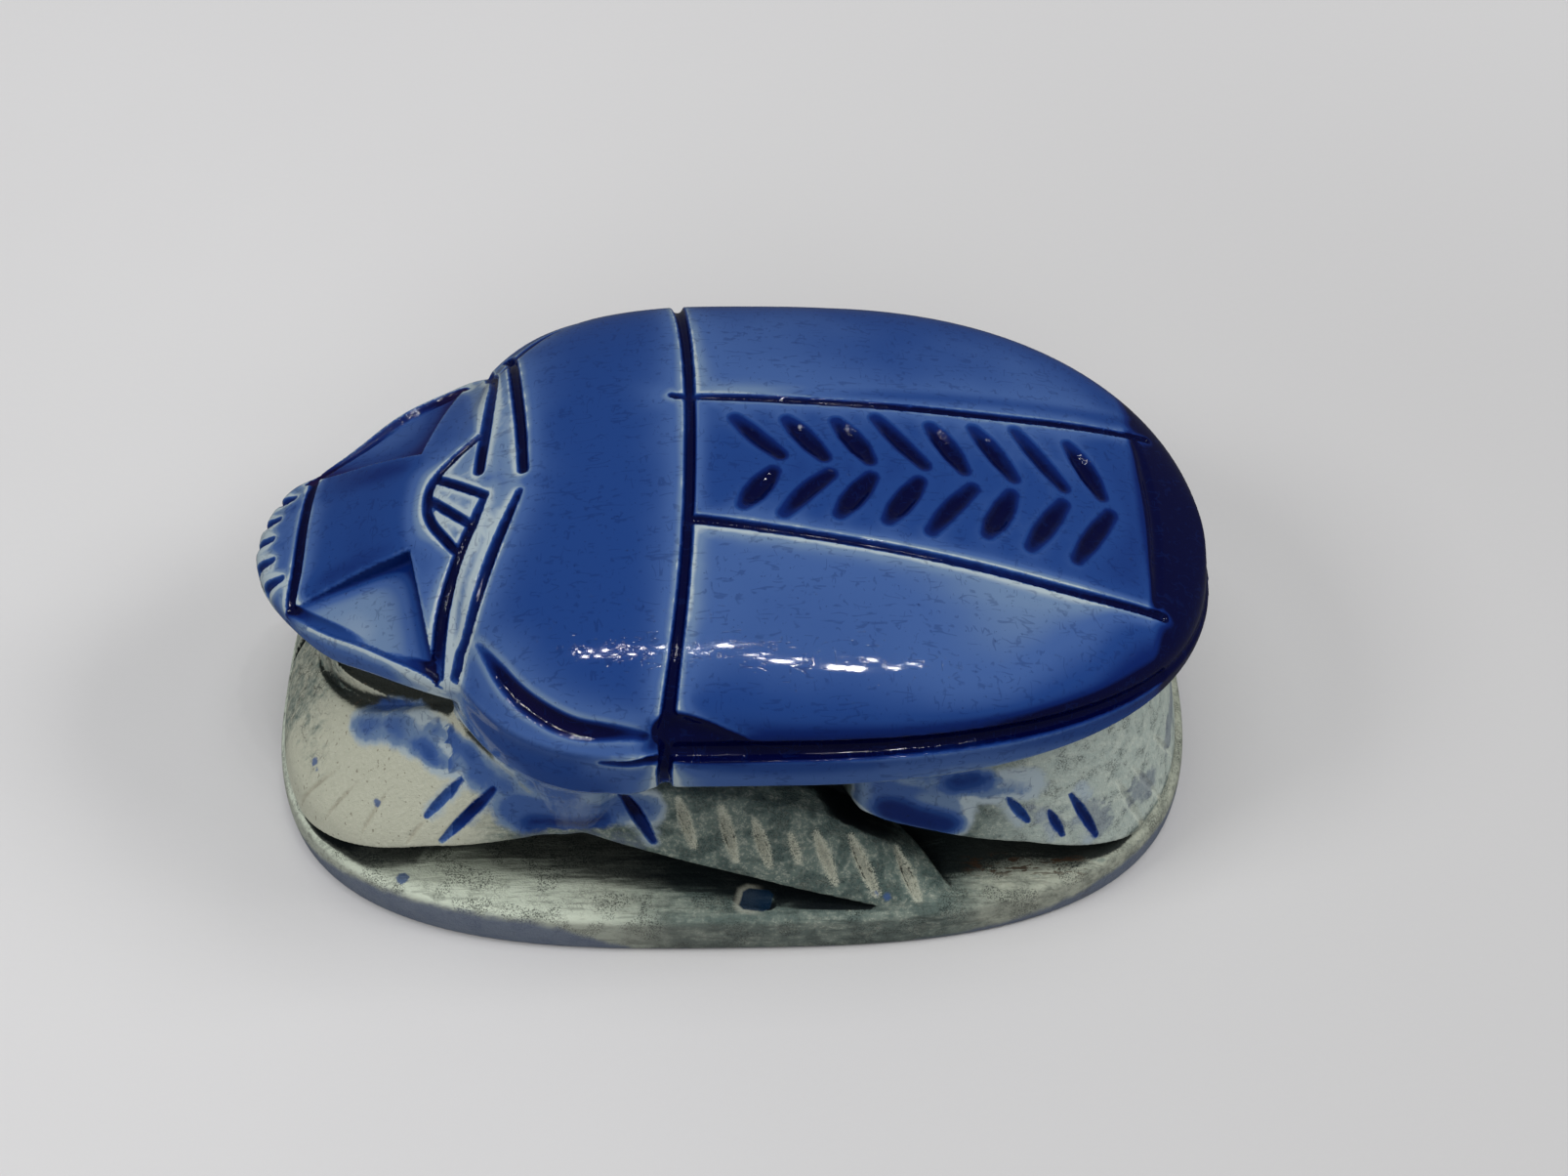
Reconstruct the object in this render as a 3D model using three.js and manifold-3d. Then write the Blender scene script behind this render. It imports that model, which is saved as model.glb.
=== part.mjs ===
// Glazed stone scarab on an oval base, carved in one piece.
// Millimetres, +Z up. The nose points to -X, the tail to +X, and the flat underside lies on Z = 0.
import * as THREE from 'three';
import Module from 'manifold-3d';

const wasm = await Module();
wasm.setup();

// Driving sizes.

// The oval base slab: a squarish ellipse, with a softened rim.
const base = { halfLength: 45, halfWidth: 30.5, squareness: 2.57, height: 4.6, edge: 0.9 };

// The beetle's back, seen from above: widest at widestX, rounder at the tail than at the shoulders.
const back = {
  halfWidth: 27.6, widestX: 5, tailX: 45.1, shoulderX: -27,
  tailPower: 2.38, shoulderPower: 5, shoulderRoot: 1.8,
  crest: 35.1, crestX: -3, tailCrest: 24.2, tailRoot: 0.88, foreSlope: 0.0105, forePower: 1.89,
  springing: 26.5, springingDrop: 4.4, sectionPower: 2.4, shoulderFullness: -0.35, tailFullness: 0.6,
};

// The hem under the wing cases: a band that stands a little proud of the back.
const hem = { proud: 0.8, bottom: 22.3, tailDrop: 0.8 };

// The head: a flat wedge with a thin rim, from the collar to the nose.
const head = {
  rootX: -20, noseX: -45.1, halfWidth: 20.5, power: 1.65, rim: 26.2, rimSlope: 0.0105, rimStart: -26.5,
  rimThickness: 2.3, underside: 20.5, undersideShare: 0.55,
};

// The throat and belly that carry the back, set in behind the legs.
const belly = { halfLength: 40, halfWidth: 20, squareness: 2.3, bottom: 4, top: 24 };
const throat = { centreX: -20, halfLength: 20.5, halfWidth: 15, squareness: 2.2, bottom: 4, top: 23 };

// The shoulder blocks, where the front and middle legs grow from the back's wall.
const shoulder = { startX: -26.4, endX: -6, inset: 0.2, bottomInset: 2.4, bottom: 11.6 };

// Legs. Each station is a place on the base's outline (rimX), with the leg's lower outer edge, the break
// in its outer face and its upper inner edge, each as a share of the outline's radius and a height.
const frontLeg = [
  { rimX: -15, edge: [0.83, 12.0], face: [0.835, 14.0], crest: [0.83, 18.5] },
  { rimX: -18, edge: [0.838, 11.5], face: [0.84, 13.0], crest: [0.83, 18.5] },
  { rimX: -25, edge: [0.91, 11.0], face: [0.905, 12.2], crest: [0.81, 19.2] },
  { rimX: -30, edge: [0.945, 10.2], face: [0.938, 11.5], crest: [0.76, 20.0] },
  { rimX: -34, edge: [0.975, 8.7], face: [0.962, 10.5], crest: [0.73, 20.5] },
  { rimX: -37, edge: [0.985, 7.3], face: [0.972, 9.8], crest: [0.74, 20.0] },
  { rimX: -40, edge: [0.99, 5.8], face: [0.975, 9.2], crest: [0.79, 18.0] },
  { rimX: -42.5, edge: [0.99, 4.4], face: [0.972, 9.0], crest: [0.84, 15.5] },
  { rimX: -44.3, edge: [0.99, 4.2], face: [0.968, 9.0], crest: [0.88, 14.5] },
  { rimX: -45, edge: [0.99, 4.2], face: [0.965, 9.0], crest: [0.89, 14.2] },
];
const hindLeg = [
  { rimX: 14.5, edge: [0.81, 13.0], face: [0.82, 14.5], crest: [0.8, 22.8] },
  { rimX: 17, edge: [0.85, 12.2], face: [0.85, 13.5], crest: [0.83, 22.8] },
  { rimX: 21, edge: [0.885, 11.5], face: [0.88, 12.8], crest: [0.85, 22.8] },
  { rimX: 29, edge: [0.945, 9.8], face: [0.94, 11.4], crest: [0.87, 22.8] },
  { rimX: 34, edge: [0.98, 7.3], face: [0.97, 9.4], crest: [0.89, 22.6] },
  { rimX: 38, edge: [0.992, 5.0], face: [0.98, 8.0], crest: [0.91, 22.4] },
  { rimX: 41, edge: [0.995, 4.2], face: [0.98, 7.6], crest: [0.92, 22.2] },
  { rimX: 43.8, edge: [0.995, 4.0], face: [0.978, 7.5], crest: [0.925, 22.0] },
  { rimX: 45, edge: [0.995, 4.0], face: [0.975, 7.5], crest: [0.925, 22.0] },
];
const middleLeg = [
  { rimX: -18, edge: [0.838, 11.5], face: [0.84, 13.0], crest: [0.83, 18.5] },
  { rimX: -8, edge: [0.868, 9.4], face: [0.868, 10.9], crest: [0.815, 16.8] },
  { rimX: 2.2, edge: [0.902, 7.1], face: [0.9, 8.6], crest: [0.805, 14.8] },
  { rimX: 11, edge: [0.95, 5.4], face: [0.946, 6.7], crest: [0.805, 12.4] },
  { rimX: 19.4, edge: [1.0, 3.5], face: [0.996, 4.6], crest: [0.82, 8.0] },
  { rimX: 22, edge: [0.985, 3.5], face: [0.98, 4.4], crest: [0.82, 6.6] },
];
const legInner = 0.5;
const legUnderDrop = 1.2;

// Widths of the carved lines.
const cut = { line: 0.55, fine: 0.42, deep: 0.75, nick: 0.5, stroke: 0.85 };
const rodSides = 5;

// Outlines and surfaces.

// A point on a squarish ellipse; the angle is measured from +X.
function squareEllipse(halfLength, halfWidth, squareness, angle) {
  const c = Math.cos(angle);
  const s = Math.sin(angle);
  return new THREE.Vector2(
    halfLength * Math.sign(c) * Math.abs(c) ** (2 / squareness),
    halfWidth * Math.sign(s) * Math.abs(s) ** (2 / squareness),
  );
}

function rimY(x) {
  const share = Math.min(1, Math.abs(x) / base.halfLength);
  return base.halfWidth * (1 - share ** base.squareness) ** (1 / base.squareness);
}

function backHalfWidth(x) {
  const towardsTail = x > back.widestX;
  const reach = towardsTail ? back.tailX - back.widestX : back.widestX - back.shoulderX;
  const power = towardsTail ? back.tailPower : back.shoulderPower;
  const root = towardsTail ? back.tailPower : back.shoulderRoot;
  const share = Math.min(1, Math.abs(x - back.widestX) / reach);
  return back.halfWidth * (1 - share ** power) ** (1 / root);
}

function crestHeight(x) {
  if (x < back.crestX) {
    return back.crest - back.foreSlope * (back.crestX - x) ** back.forePower;
  }
  const share = Math.min(1, (x - back.crestX) / (back.tailX - back.crestX));
  return back.tailCrest + (back.crest - back.tailCrest) * (1 - share * share) ** back.tailRoot;
}

// The height where the domed back springs from the hem.
function springingHeight(x) {
  const share = THREE.MathUtils.clamp((x - 2) / (back.tailX - 2), 0, 1);
  return back.springing - back.springingDrop * share ** 3;
}

// The back's cross-section is flatter at the shoulders and fuller at the tail.
function sectionPower(x) {
  const towardsHead = THREE.MathUtils.clamp((-5 - x) / 20, 0, 1);
  const towardsTail = THREE.MathUtils.clamp((x - 10) / 35, 0, 1);
  return back.sectionPower + back.shoulderFullness * towardsHead + back.tailFullness * towardsTail;
}

// A point of the back's cross-section; turn runs from -90 degrees at the near hem to 90 at the far one.
function backPoint(x, turn) {
  const low = springingHeight(x);
  const up = Math.cos(turn) ** (2 / sectionPower(x));
  const out = Math.sign(turn) * Math.abs(Math.sin(turn)) ** (2 / sectionPower(x));
  return new THREE.Vector3(x, backHalfWidth(x) * out, low + (crestHeight(x) - low) * up);
}

function headHalfWidth(x) {
  const share = THREE.MathUtils.clamp((head.rootX - x) / (head.rootX - head.noseX), 0, 1);
  return head.halfWidth * (1 - share ** head.power) ** (1 / head.power);
}

function headRim(x) {
  return head.rim - head.rimSlope * Math.max(0, head.rimStart - x) ** 2;
}

function headHeight(x, y) {
  const share = Math.min(1, Math.abs(y) / headHalfWidth(x));
  return headRim(x) + (crestHeight(x) - headRim(x)) * (1 - share * share);
}

// The height of the carved top at a place seen from above.
function topHeight(x, y) {
  const share = Math.abs(y) / backHalfWidth(x);
  let height = 0;
  if (share < 1) {
    const low = springingHeight(x);
    const power = sectionPower(x);
    height = low + (crestHeight(x) - low) * (1 - share ** power) ** (1 / power);
  }
  if (x < head.rootX && Math.abs(y) < headHalfWidth(x)) {
    height = Math.max(height, headHeight(x, y));
  }
  return height;
}

const onTop = ([x, y], lift = 0) => new THREE.Vector3(x, y, topHeight(x, y) + lift);

// A line drawn on the top through a few places seen from above.
function traceTop(places, steps, lift = 0) {
  const curve = new THREE.SplineCurve(places.map(([x, y]) => new THREE.Vector2(x, y)));
  return curve.getSpacedPoints(steps).map((p) => onTop([p.x, p.y], lift));
}

// Solids.

// A closed body through rings of points, capped at both ends.
function loft(rings) {
  const count = rings[0].length;
  const points = rings.flat();
  const index = [];
  for (let r = 0; r + 1 < rings.length; r += 1) {
    for (let i = 0; i < count; i += 1) {
      const a = r * count + i;
      const b = r * count + (i + 1) % count;
      index.push(a, b, a + count, b, b + count, a + count);
    }
  }
  for (const [r, turned] of [[0, true], [rings.length - 1, false]]) {
    const centre = new THREE.Vector3();
    rings[r].forEach((p) => centre.addScaledVector(p, 1 / count));
    const hub = points.push(centre) - 1;
    for (let i = 0; i < count; i += 1) {
      const a = r * count + i;
      const b = r * count + (i + 1) % count;
      index.push(hub, ...(turned ? [b, a] : [a, b]));
    }
  }
  const geometry = new THREE.BufferGeometry().setFromPoints(points);
  geometry.setIndex(index);
  return geometry;
}

function enclosedVolume(geometry) {
  const position = geometry.getAttribute('position');
  const [a, b, c] = [new THREE.Vector3(), new THREE.Vector3(), new THREE.Vector3()];
  let volume = 0;
  for (let i = 0; i < geometry.index.count; i += 3) {
    [a, b, c].forEach((p, k) => p.fromBufferAttribute(position, geometry.index.getX(i + k)));
    volume += a.dot(b.cross(c)) / 6;
  }
  return volume;
}

// The loft as a solid, turned inside out if its rings ran the other way round.
function solid(rings) {
  const geometry = loft(rings);
  const triVerts = new Uint32Array(geometry.index.array);
  if (enclosedVolume(geometry) < 0) {
    for (let i = 0; i < triVerts.length; i += 3) {
      [triVerts[i], triVerts[i + 1]] = [triVerts[i + 1], triVerts[i]];
    }
  }
  const vertProperties = new Float32Array(geometry.getAttribute('position').array);
  return new wasm.Manifold(new wasm.Mesh({ numProp: 3, vertProperties, triVerts }));
}

// A rod along a line, used to carve grooves; its ends thin out to the given share of the radius.
function rod(line, radius, endShare = 0.5) {
  const curve = new THREE.CatmullRomCurve3(line);
  const steps = line.length - 1;
  const frames = curve.computeFrenetFrames(steps, false);
  const radii = Array.isArray(radius) ? radius : line.map((_, i) => (
    i === 0 || i === steps ? radius * endShare : radius));
  return solid(line.map((_, i) => {
    const centre = curve.getPoint(i / steps);
    return Array.from({ length: rodSides }, (__, k) => {
      const turn = (k + 0.5) * 2 * Math.PI / rodSides;
      return centre.clone()
        .addScaledVector(frames.normals[i], radii[i] * Math.cos(turn))
        .addScaledVector(frames.binormals[i], radii[i] * Math.sin(turn));
    });
  }));
}

const joinAll = (parts) => parts.reduce((whole, part) => whole.add(part));
const carveAll = (whole, cuts) => cuts.reduce((rest, tool) => rest.subtract(tool), whole);

// Base, belly and throat.

const outlineSteps = 44;

function column(halfLength, halfWidth, squareness, levels, centreX = 0) {
  return solid(levels.map(([z, inset]) => Array.from({ length: outlineSteps }, (_, i) => {
    const angle = i * 2 * Math.PI / outlineSteps;
    const p = squareEllipse(halfLength - inset, halfWidth - inset, squareness, angle);
    return new THREE.Vector3(p.x + centreX, p.y, z);
  })));
}

function makeBase() {
  return column(base.halfLength, base.halfWidth, base.squareness, [
    [0, base.edge * 0.5],
    [base.edge * 0.5, 0],
    [base.height - base.edge, 0],
    [base.height - base.edge * 0.3, base.edge * 0.35],
    [base.height, base.edge * 1.2],
  ]);
}

function makeBelly() {
  return column(belly.halfLength, belly.halfWidth, belly.squareness, [
    [belly.bottom, 0],
    [belly.top, 0],
  ]).add(column(throat.halfLength, throat.halfWidth, throat.squareness, [
    [throat.bottom, 0],
    [throat.top, 0],
  ], throat.centreX));
}

// Back with its hem.

function makeBack() {
  const stations = 25;
  const arcSteps = 22;
  const rings = [];
  for (let s = 0; s <= stations; s += 1) {
    const sweep = Math.PI * (s + 0.35) / (stations + 0.7);
    const middle = (back.shoulderX + back.tailX) / 2;
    const x = middle - (back.tailX - back.shoulderX) / 2 * Math.cos(sweep);
    const towardsTail = THREE.MathUtils.smoothstep(x, 28, back.tailX);
    const low = springingHeight(x);
    const bottom = hem.bottom - hem.tailDrop * towardsTail;
    const proud = hem.proud * (1 - 0.5 * towardsTail);
    const out = backHalfWidth(x) + proud;
    const rounding = Math.min(0.6, (low - bottom) * 0.3);
    const ring = [];
    ring.push(new THREE.Vector3(x, -out + rounding, bottom));
    ring.push(new THREE.Vector3(x, -out, bottom + rounding));
    ring.push(new THREE.Vector3(x, -out, low - rounding));
    for (let i = 0; i <= arcSteps; i += 1) {
      ring.push(backPoint(x, -Math.PI / 2 + Math.PI * i / arcSteps));
    }
    ring.push(new THREE.Vector3(x, out, low - rounding));
    ring.push(new THREE.Vector3(x, out, bottom + rounding));
    ring.push(new THREE.Vector3(x, out - rounding, bottom));
    rings.push(ring);
  }
  return solid(rings);
}

// The upright wall under the pronotum, on one side; it runs down into the roots of the legs.
function makeShoulders() {
  const steps = 9;
  const rings = [];
  for (let i = 0; i <= steps; i += 1) {
    const x = THREE.MathUtils.lerp(shoulder.startX, shoulder.endX, i / steps);
    const out = backHalfWidth(x) + hem.proud - shoulder.inset;
    const foot = out - shoulder.bottomInset;
    const towardsHead = THREE.MathUtils.smoothstep(-x, 19, -shoulder.startX);
    const towardsTail = THREE.MathUtils.smoothstep(x, -17, shoulder.endX);
    const low = shoulder.bottom + 7 * towardsHead + 9.4 * towardsTail;
    rings.push([
      new THREE.Vector3(x, -foot, low),
      new THREE.Vector3(x, -(foot * 0.35 + out * 0.65), (low + hem.bottom) / 2),
      new THREE.Vector3(x, -out, hem.bottom + 1.5),
      new THREE.Vector3(x, out, hem.bottom + 1.5),
      new THREE.Vector3(x, foot * 0.35 + out * 0.65, (low + hem.bottom) / 2),
      new THREE.Vector3(x, foot, low),
    ]);
  }
  return solid(rings);
}

// Head.

function makeHead() {
  const stations = 10;
  const arcSteps = 12;
  const rings = [];
  for (let s = 0; s <= stations; s += 1) {
    const sweep = Math.PI / 2 * s / stations;
    const x = head.rootX - (head.rootX - head.noseX - 0.05) * Math.sin(sweep);
    const half = headHalfWidth(x);
    const rimTop = headRim(x) - 0.5;
    const rimLow = headRim(x) - head.rimThickness;
    const ring = [];
    ring.push(new THREE.Vector3(x, -half * head.undersideShare, Math.min(head.underside, rimLow - 0.4)));
    ring.push(new THREE.Vector3(x, -half + 0.5, rimLow));
    ring.push(new THREE.Vector3(x, -half, rimTop));
    for (let i = 0; i <= arcSteps; i += 1) {
      const y = (half - 0.45) * (2 * i / arcSteps - 1);
      ring.push(new THREE.Vector3(x, y, headHeight(x, y)));
    }
    ring.push(new THREE.Vector3(x, half, rimTop));
    ring.push(new THREE.Vector3(x, half - 0.5, rimLow));
    ring.push(new THREE.Vector3(x, half * head.undersideShare, Math.min(head.underside, rimLow - 0.4)));
    rings.push(ring);
  }
  return solid(rings);
}

// Legs.

// A value between stations, by the place on the base's outline.
function atRim(stations, rimX, key, item) {
  const rising = stations[0].rimX < stations[stations.length - 1].rimX;
  const list = rising ? stations : [...stations].reverse();
  for (let i = 0; i + 1 < list.length; i += 1) {
    const [from, to] = [list[i], list[i + 1]];
    if (rimX <= to.rimX || i + 2 === list.length) {
      const share = THREE.MathUtils.clamp((rimX - from.rimX) / (to.rimX - from.rimX), 0, 1);
      return THREE.MathUtils.lerp(from[key][item], to[key][item], share);
    }
  }
  return list[0][key][item];
}

function legRing(stations, rimX, side) {
  const value = (key, item) => atRim(stations, rimX, key, item);
  const place = (share, z) => new THREE.Vector3(share * rimX, side * share * rimY(rimX), z);
  const [edgeShare, edgeZ] = [value('edge', 0), value('edge', 1)];
  const [faceShare, faceZ] = [value('face', 0), value('face', 1)];
  const [crestShare, crestZ] = [value('crest', 0), value('crest', 1)];
  const middle = (faceShare + crestShare) / 2;
  const crown = (faceZ + crestZ) / 2 + 0.06 * (crestZ - faceZ);
  const under = Math.max(edgeZ - legUnderDrop, base.height - 1);
  return [
    place(legInner, under),
    place(edgeShare - 0.06, Math.min(under + 0.3, edgeZ)),
    place(edgeShare, edgeZ),
    place(faceShare, faceZ),
    place(middle, crown),
    place(crestShare, crestZ),
    place(legInner, crestZ),
  ];
}

// A leg that lies round one end of the beetle, from its near root to its far root.
function makeEndLegs(stations) {
  const stops = [];
  for (let i = 0; i + 1 < stations.length; i += 1) {
    const [from, to] = [stations[i].rimX, stations[i + 1].rimX];
    const parts = Math.abs(to - from) > 4 ? 2 : 1;
    for (let k = 0; k < parts; k += 1) {
      stops.push(from + (to - from) * k / parts);
    }
  }
  const tip = stations[stations.length - 1].rimX;
  const rings = stops.map((rimX) => legRing(stations, rimX, -1));
  rings.push(legRing(stations, tip, 0));
  stops.reverse().forEach((rimX) => rings.push(legRing(stations, rimX, 1)));
  return solid(rings);
}

function makeMiddleLeg(side) {
  const steps = 9;
  const [first, last] = [middleLeg[0].rimX, middleLeg[middleLeg.length - 1].rimX];
  return solid(Array.from({ length: steps + 1 }, (_, i) => (
    legRing(middleLeg, THREE.MathUtils.lerp(first, last, i / steps), side))));
}

// Carving on the back.

// Places seen from above, on the near side (-Y) or the far side (+Y).
const collarNear = [
  [-22.2, -2], [-23.1, -4.8], [-24.3, -8.2], [-25.2, -11.5], [-25.6, -14.3], [-25.9, -19.5],
];
const collarFar = [[-23, 1.2], [-22.8, 8.2], [-22.8, 15.3], [-23.4, 20]];
const foreNear = [[-19.2, -2.6], [-21, -8.8], [-22.5, -14.4], [-24, -19]];
const foreFar = [[-18.8, 0.3], [-19.5, 7], [-20.7, 16], [-21.6, 20.6]];
const bandNear = [[-3.4, -7.8], [9.1, -9.7], [22.1, -11.5], [31, -12.6], [39, -12.8]];
const bandFar = [[-5.2, 8.3], [-3.4, 8], [9.6, 7.6], [23.5, 8], [33.2, 9.1], [40.2, 10.1]];

// The line between the pronotum and the wing cases, bowed towards the tail at the crest.
function pronotumLine() {
  const steps = 14;
  const line = [];
  for (let i = 0; i <= steps; i += 1) {
    const turn = Math.PI / 2 * (2 * i / steps - 1);
    const share = Math.sin(turn);
    line.push(backPoint(-3.4 - 2.1 * share * share, turn));
  }
  const low = (side) => new THREE.Vector3(-5.8, side * (back.halfWidth + 0.4), hem.bottom - 0.2);
  return rod([low(-1), ...line, low(1)], cut.line, 1);
}

function hemGroove(side) {
  const [from, to, steps] = [-4, 38, 7];
  const line = Array.from({ length: steps + 1 }, (_, i) => {
    const x = THREE.MathUtils.lerp(from, to, i / steps);
    return new THREE.Vector3(x, side * (backHalfWidth(x) + 0.2), springingHeight(x) + 0.15);
  });
  return rod(line, cut.deep, 0.4);
}

// The sunk three-cornered notch behind the shoulder, closed by the hem's groove.
function shoulderNotch(side) {
  const line = [[-4.4, 2.5], [-2.2, 2.0], [0.4, 1.2], [3.4, 0.5]].map(([x, rise]) => (
    new THREE.Vector3(x, side * (backHalfWidth(x) + 1.1 - 0.2 * rise), springingHeight(x) + rise * 0.85)));
  return rod(line, [2.4, 2.0, 1.4, 0.6]);
}

function pronotumGroove(side) {
  const places = [[-22.1, 18], [-19.2, 22.2], [-16.6, 24.7], [-13, 26.4], [-7.2, 27.2]];
  const line = places.map(([x, y]) => onTop([x, side * Math.min(y, backHalfWidth(x) - 0.15)]));
  return rod(line, [0.35, 0.7, 0.95, 0.9, 0.4]);
}

// Shallow slanting strokes in rows, where an inscription would stand.
function panelStrokes() {
  const strokes = [];
  const [from, to, count, lean] = [3.5, 32, 7, 1.6];
  for (let i = 0; i < count; i += 1) {
    const x = THREE.MathUtils.lerp(from, to, i / (count - 1));
    const reach = 4.6 + 1.6 * (x - from) / (to - from);
    for (const side of [-1, 1]) {
      const places = [
        [x - lean, side * reach * 0.94 - 0.9],
        [x, side * reach * 0.55 - 0.9],
        [x + lean, side * 1.4 - 0.9],
      ];
      strokes.push(rod(traceTop(places, 3, 0.35), cut.stroke, 0.35));
    }
  }
  return strokes;
}

function makeBackCuts() {
  const cuts = [pronotumLine()];
  for (const side of [-1, 1]) {
    cuts.push(hemGroove(side), shoulderNotch(side), pronotumGroove(side));
  }
  for (const places of [foreNear, foreFar]) {
    cuts.push(rod(traceTop(places, 6), cut.line));
  }
  for (const places of [bandNear, bandFar]) {
    cuts.push(rod(traceTop(places, 7), cut.fine));
  }
  return [...cuts, ...panelStrokes()];
}

// Carving on the head.

// A cheek: a three-cornered field, sunk deepest at the plate's inner corner and level with the rim outside.
function cheek(side) {
  const corners = [[-39.9, 8.3, 0.5], [-29.1, 6.2, 1.7], [-26.6, 17.4, 0.5]];
  const ring = (depth) => corners.map(([x, y, sunk]) => (
    new THREE.Vector3(x, side * y, topHeight(x, side * y) - (depth ? sunk : -4))));
  return solid([ring(true), ring(false)]);
}

function rimGroove(side) {
  const places = [[-40.6, 8.3], [-35.1, 12.6], [-30.3, 15.9], [-26.4, 18]];
  return rod(traceTop(places.map(([x, y]) => [x, side * y]), 4), cut.fine);
}

// The comb on the brow: a half moon against the collar, with two cuts across.
function combCuts() {
  const outline = [[-23.3, 6.2], [-25.6, 3.9], [-27.3, 1.6], [-27.8, -0.8], [-27.2, -3.8], [-24.4, -8.2]];
  return [
    rod(traceTop(outline, 6), cut.fine),
    rod(traceTop([[-27.2, 1.6], [-22.3, -2.2]], 2), cut.fine),
    rod(traceTop([[-27.7, -0.9], [-23.2, -5.5]], 2), cut.fine),
  ];
}

function noseNotches() {
  const notches = [];
  for (const y of [-4.6, -1.9, 0.9, 3.6, 6.1]) {
    const tipX = head.noseX + 0.07 * y * y;
    const foot = new THREE.Vector3(tipX - 0.2, y, 21.8);
    const line = [onTop([tipX + 2.9, y * 0.9]), onTop([tipX + 1.4, y]), foot];
    notches.push(rod(line, cut.nick, 0.8));
  }
  return notches;
}

function makeHeadCuts() {
  return [
    rod(traceTop(collarNear, 7), cut.line),
    rod(traceTop(collarFar, 6), cut.line),
    rod(traceTop([[-40.7, -8.4], [-40.3, -4], [-40.3, 2], [-40.2, 9]], 5), cut.line),
    cheek(-1),
    cheek(1),
    rimGroove(-1),
    rimGroove(1),
    ...combCuts(),
    ...noseNotches(),
  ];
}

// Nicks on the legs.

// Short cuts up the outer face of a leg. Each has its foot and its head as places on the base's outline, and
// the share of the face's height that it climbs.
const frontNicks = [
  [-40.6, -40.2, 0.35], [-38.1, -37.2, 0.32], [-33.9, -34.4, 0.34], [-30.7, -28.6, 0.6], [-27.8, -25.2, 0.65],
];
const middleNicks = [
  [-8.5, -12, 0.95], [-4.8, -6.3, 0.7], [1, -0.5, 0.7], [6.3, 5, 0.7], [11.4, 10.2, 0.6], [15.4, 14, 0.5],
];
const hindNicks = [[28.8, 27.6, 0.4], [31.4, 30.4, 0.3], [34, 32, 0.46], [37.6, 35.6, 0.46]];

function legNicks(stations, side, nicks) {
  return nicks.map(([foot, top, climb]) => {
    const line = [0.02, 0.5, 1].map((share) => {
      const rimX = THREE.MathUtils.lerp(foot, top, share);
      const rise = climb * share;
      const climbed = (item) => THREE.MathUtils.lerp(
        atRim(stations, rimX, 'face', item), atRim(stations, rimX, 'crest', item), rise);
      const out = climbed(0);
      return new THREE.Vector3(out * rimX, side * out * rimY(rimX), climbed(1) + 0.35);
    });
    return rod(line, cut.nick, 0.5);
  });
}

// Upright clefts at the nose end and the tail end, where the two legs of a pair meet.
const clefts = [
  [[-45.2, 5.2], [-43.4, 9], [-40.6, 13.6]],
  [[45.4, 5.2], [44.4, 9], [42.9, 15], [41.9, 21]],
];

function makeLegCuts() {
  const nicks = [-1, 1].flatMap((side) => [
    ...legNicks(frontLeg, side, frontNicks),
    ...legNicks(middleLeg, side, middleNicks),
    ...legNicks(hindLeg, side, hindNicks),
  ]);
  const cuts = clefts.map((places) => rod(places.map(([x, z]) => new THREE.Vector3(x, 0, z)), cut.deep, 0.6));
  return [...nicks, ...cuts];
}

// The whole piece.

const whole = carveAll(joinAll([
  makeBase(),
  makeBelly(),
  makeBack(),
  makeShoulders(),
  makeHead(),
  makeEndLegs(frontLeg),
  makeEndLegs(hindLeg),
  makeMiddleLeg(-1),
  makeMiddleLeg(1),
]), [...makeBackCuts(), ...makeHeadCuts(), ...makeLegCuts()]);

function toGeometry(manifold) {
  const mesh = manifold.getMesh();
  const geometry = new THREE.BufferGeometry();
  geometry.setAttribute('position', new THREE.BufferAttribute(new Float32Array(mesh.vertProperties), 3));
  geometry.setIndex(new THREE.BufferAttribute(new Uint32Array(mesh.triVerts), 1));
  geometry.computeVertexNormals();
  return geometry;
}

const glaze = new THREE.MeshStandardMaterial({ color: 0x2b50a4, roughness: 0.16, metalness: 0 });
const scarab = new THREE.Mesh(toGeometry(whole), glaze);
scarab.name = 'scarab';

const group = new THREE.Group();
group.add(scarab);

export default group;
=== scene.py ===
# A glazed soapstone scarab, about 90 mm long, lying on a pale table.
# The whole beetle is one piece. Its surface is worked out as a distance field in millimetres,
# cut with rounded tools, and turned into one fine mesh that stands for the plain CAD solid.
import math

import bpy
import numpy as np
import openvdb
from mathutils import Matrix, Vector


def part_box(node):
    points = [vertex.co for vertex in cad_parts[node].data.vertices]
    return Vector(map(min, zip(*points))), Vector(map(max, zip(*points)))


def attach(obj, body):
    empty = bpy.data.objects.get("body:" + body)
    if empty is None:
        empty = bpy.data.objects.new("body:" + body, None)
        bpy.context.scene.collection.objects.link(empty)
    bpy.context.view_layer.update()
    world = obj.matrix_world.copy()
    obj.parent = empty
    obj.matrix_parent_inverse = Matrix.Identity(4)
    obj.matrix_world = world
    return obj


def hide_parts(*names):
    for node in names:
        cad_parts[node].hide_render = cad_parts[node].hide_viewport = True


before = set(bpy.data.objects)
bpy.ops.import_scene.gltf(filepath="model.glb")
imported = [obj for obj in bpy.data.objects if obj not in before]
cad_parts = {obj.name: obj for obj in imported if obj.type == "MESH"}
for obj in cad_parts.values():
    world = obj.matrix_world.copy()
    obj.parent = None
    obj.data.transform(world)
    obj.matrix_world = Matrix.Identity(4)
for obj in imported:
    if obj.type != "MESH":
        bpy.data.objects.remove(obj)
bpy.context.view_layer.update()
low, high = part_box("scarab")
mm = (high.x - low.x) / 90.117  # metres in one millimetre of the carving
print("frame loaded, one millimetre is", round(mm, 7), "m")


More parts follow.
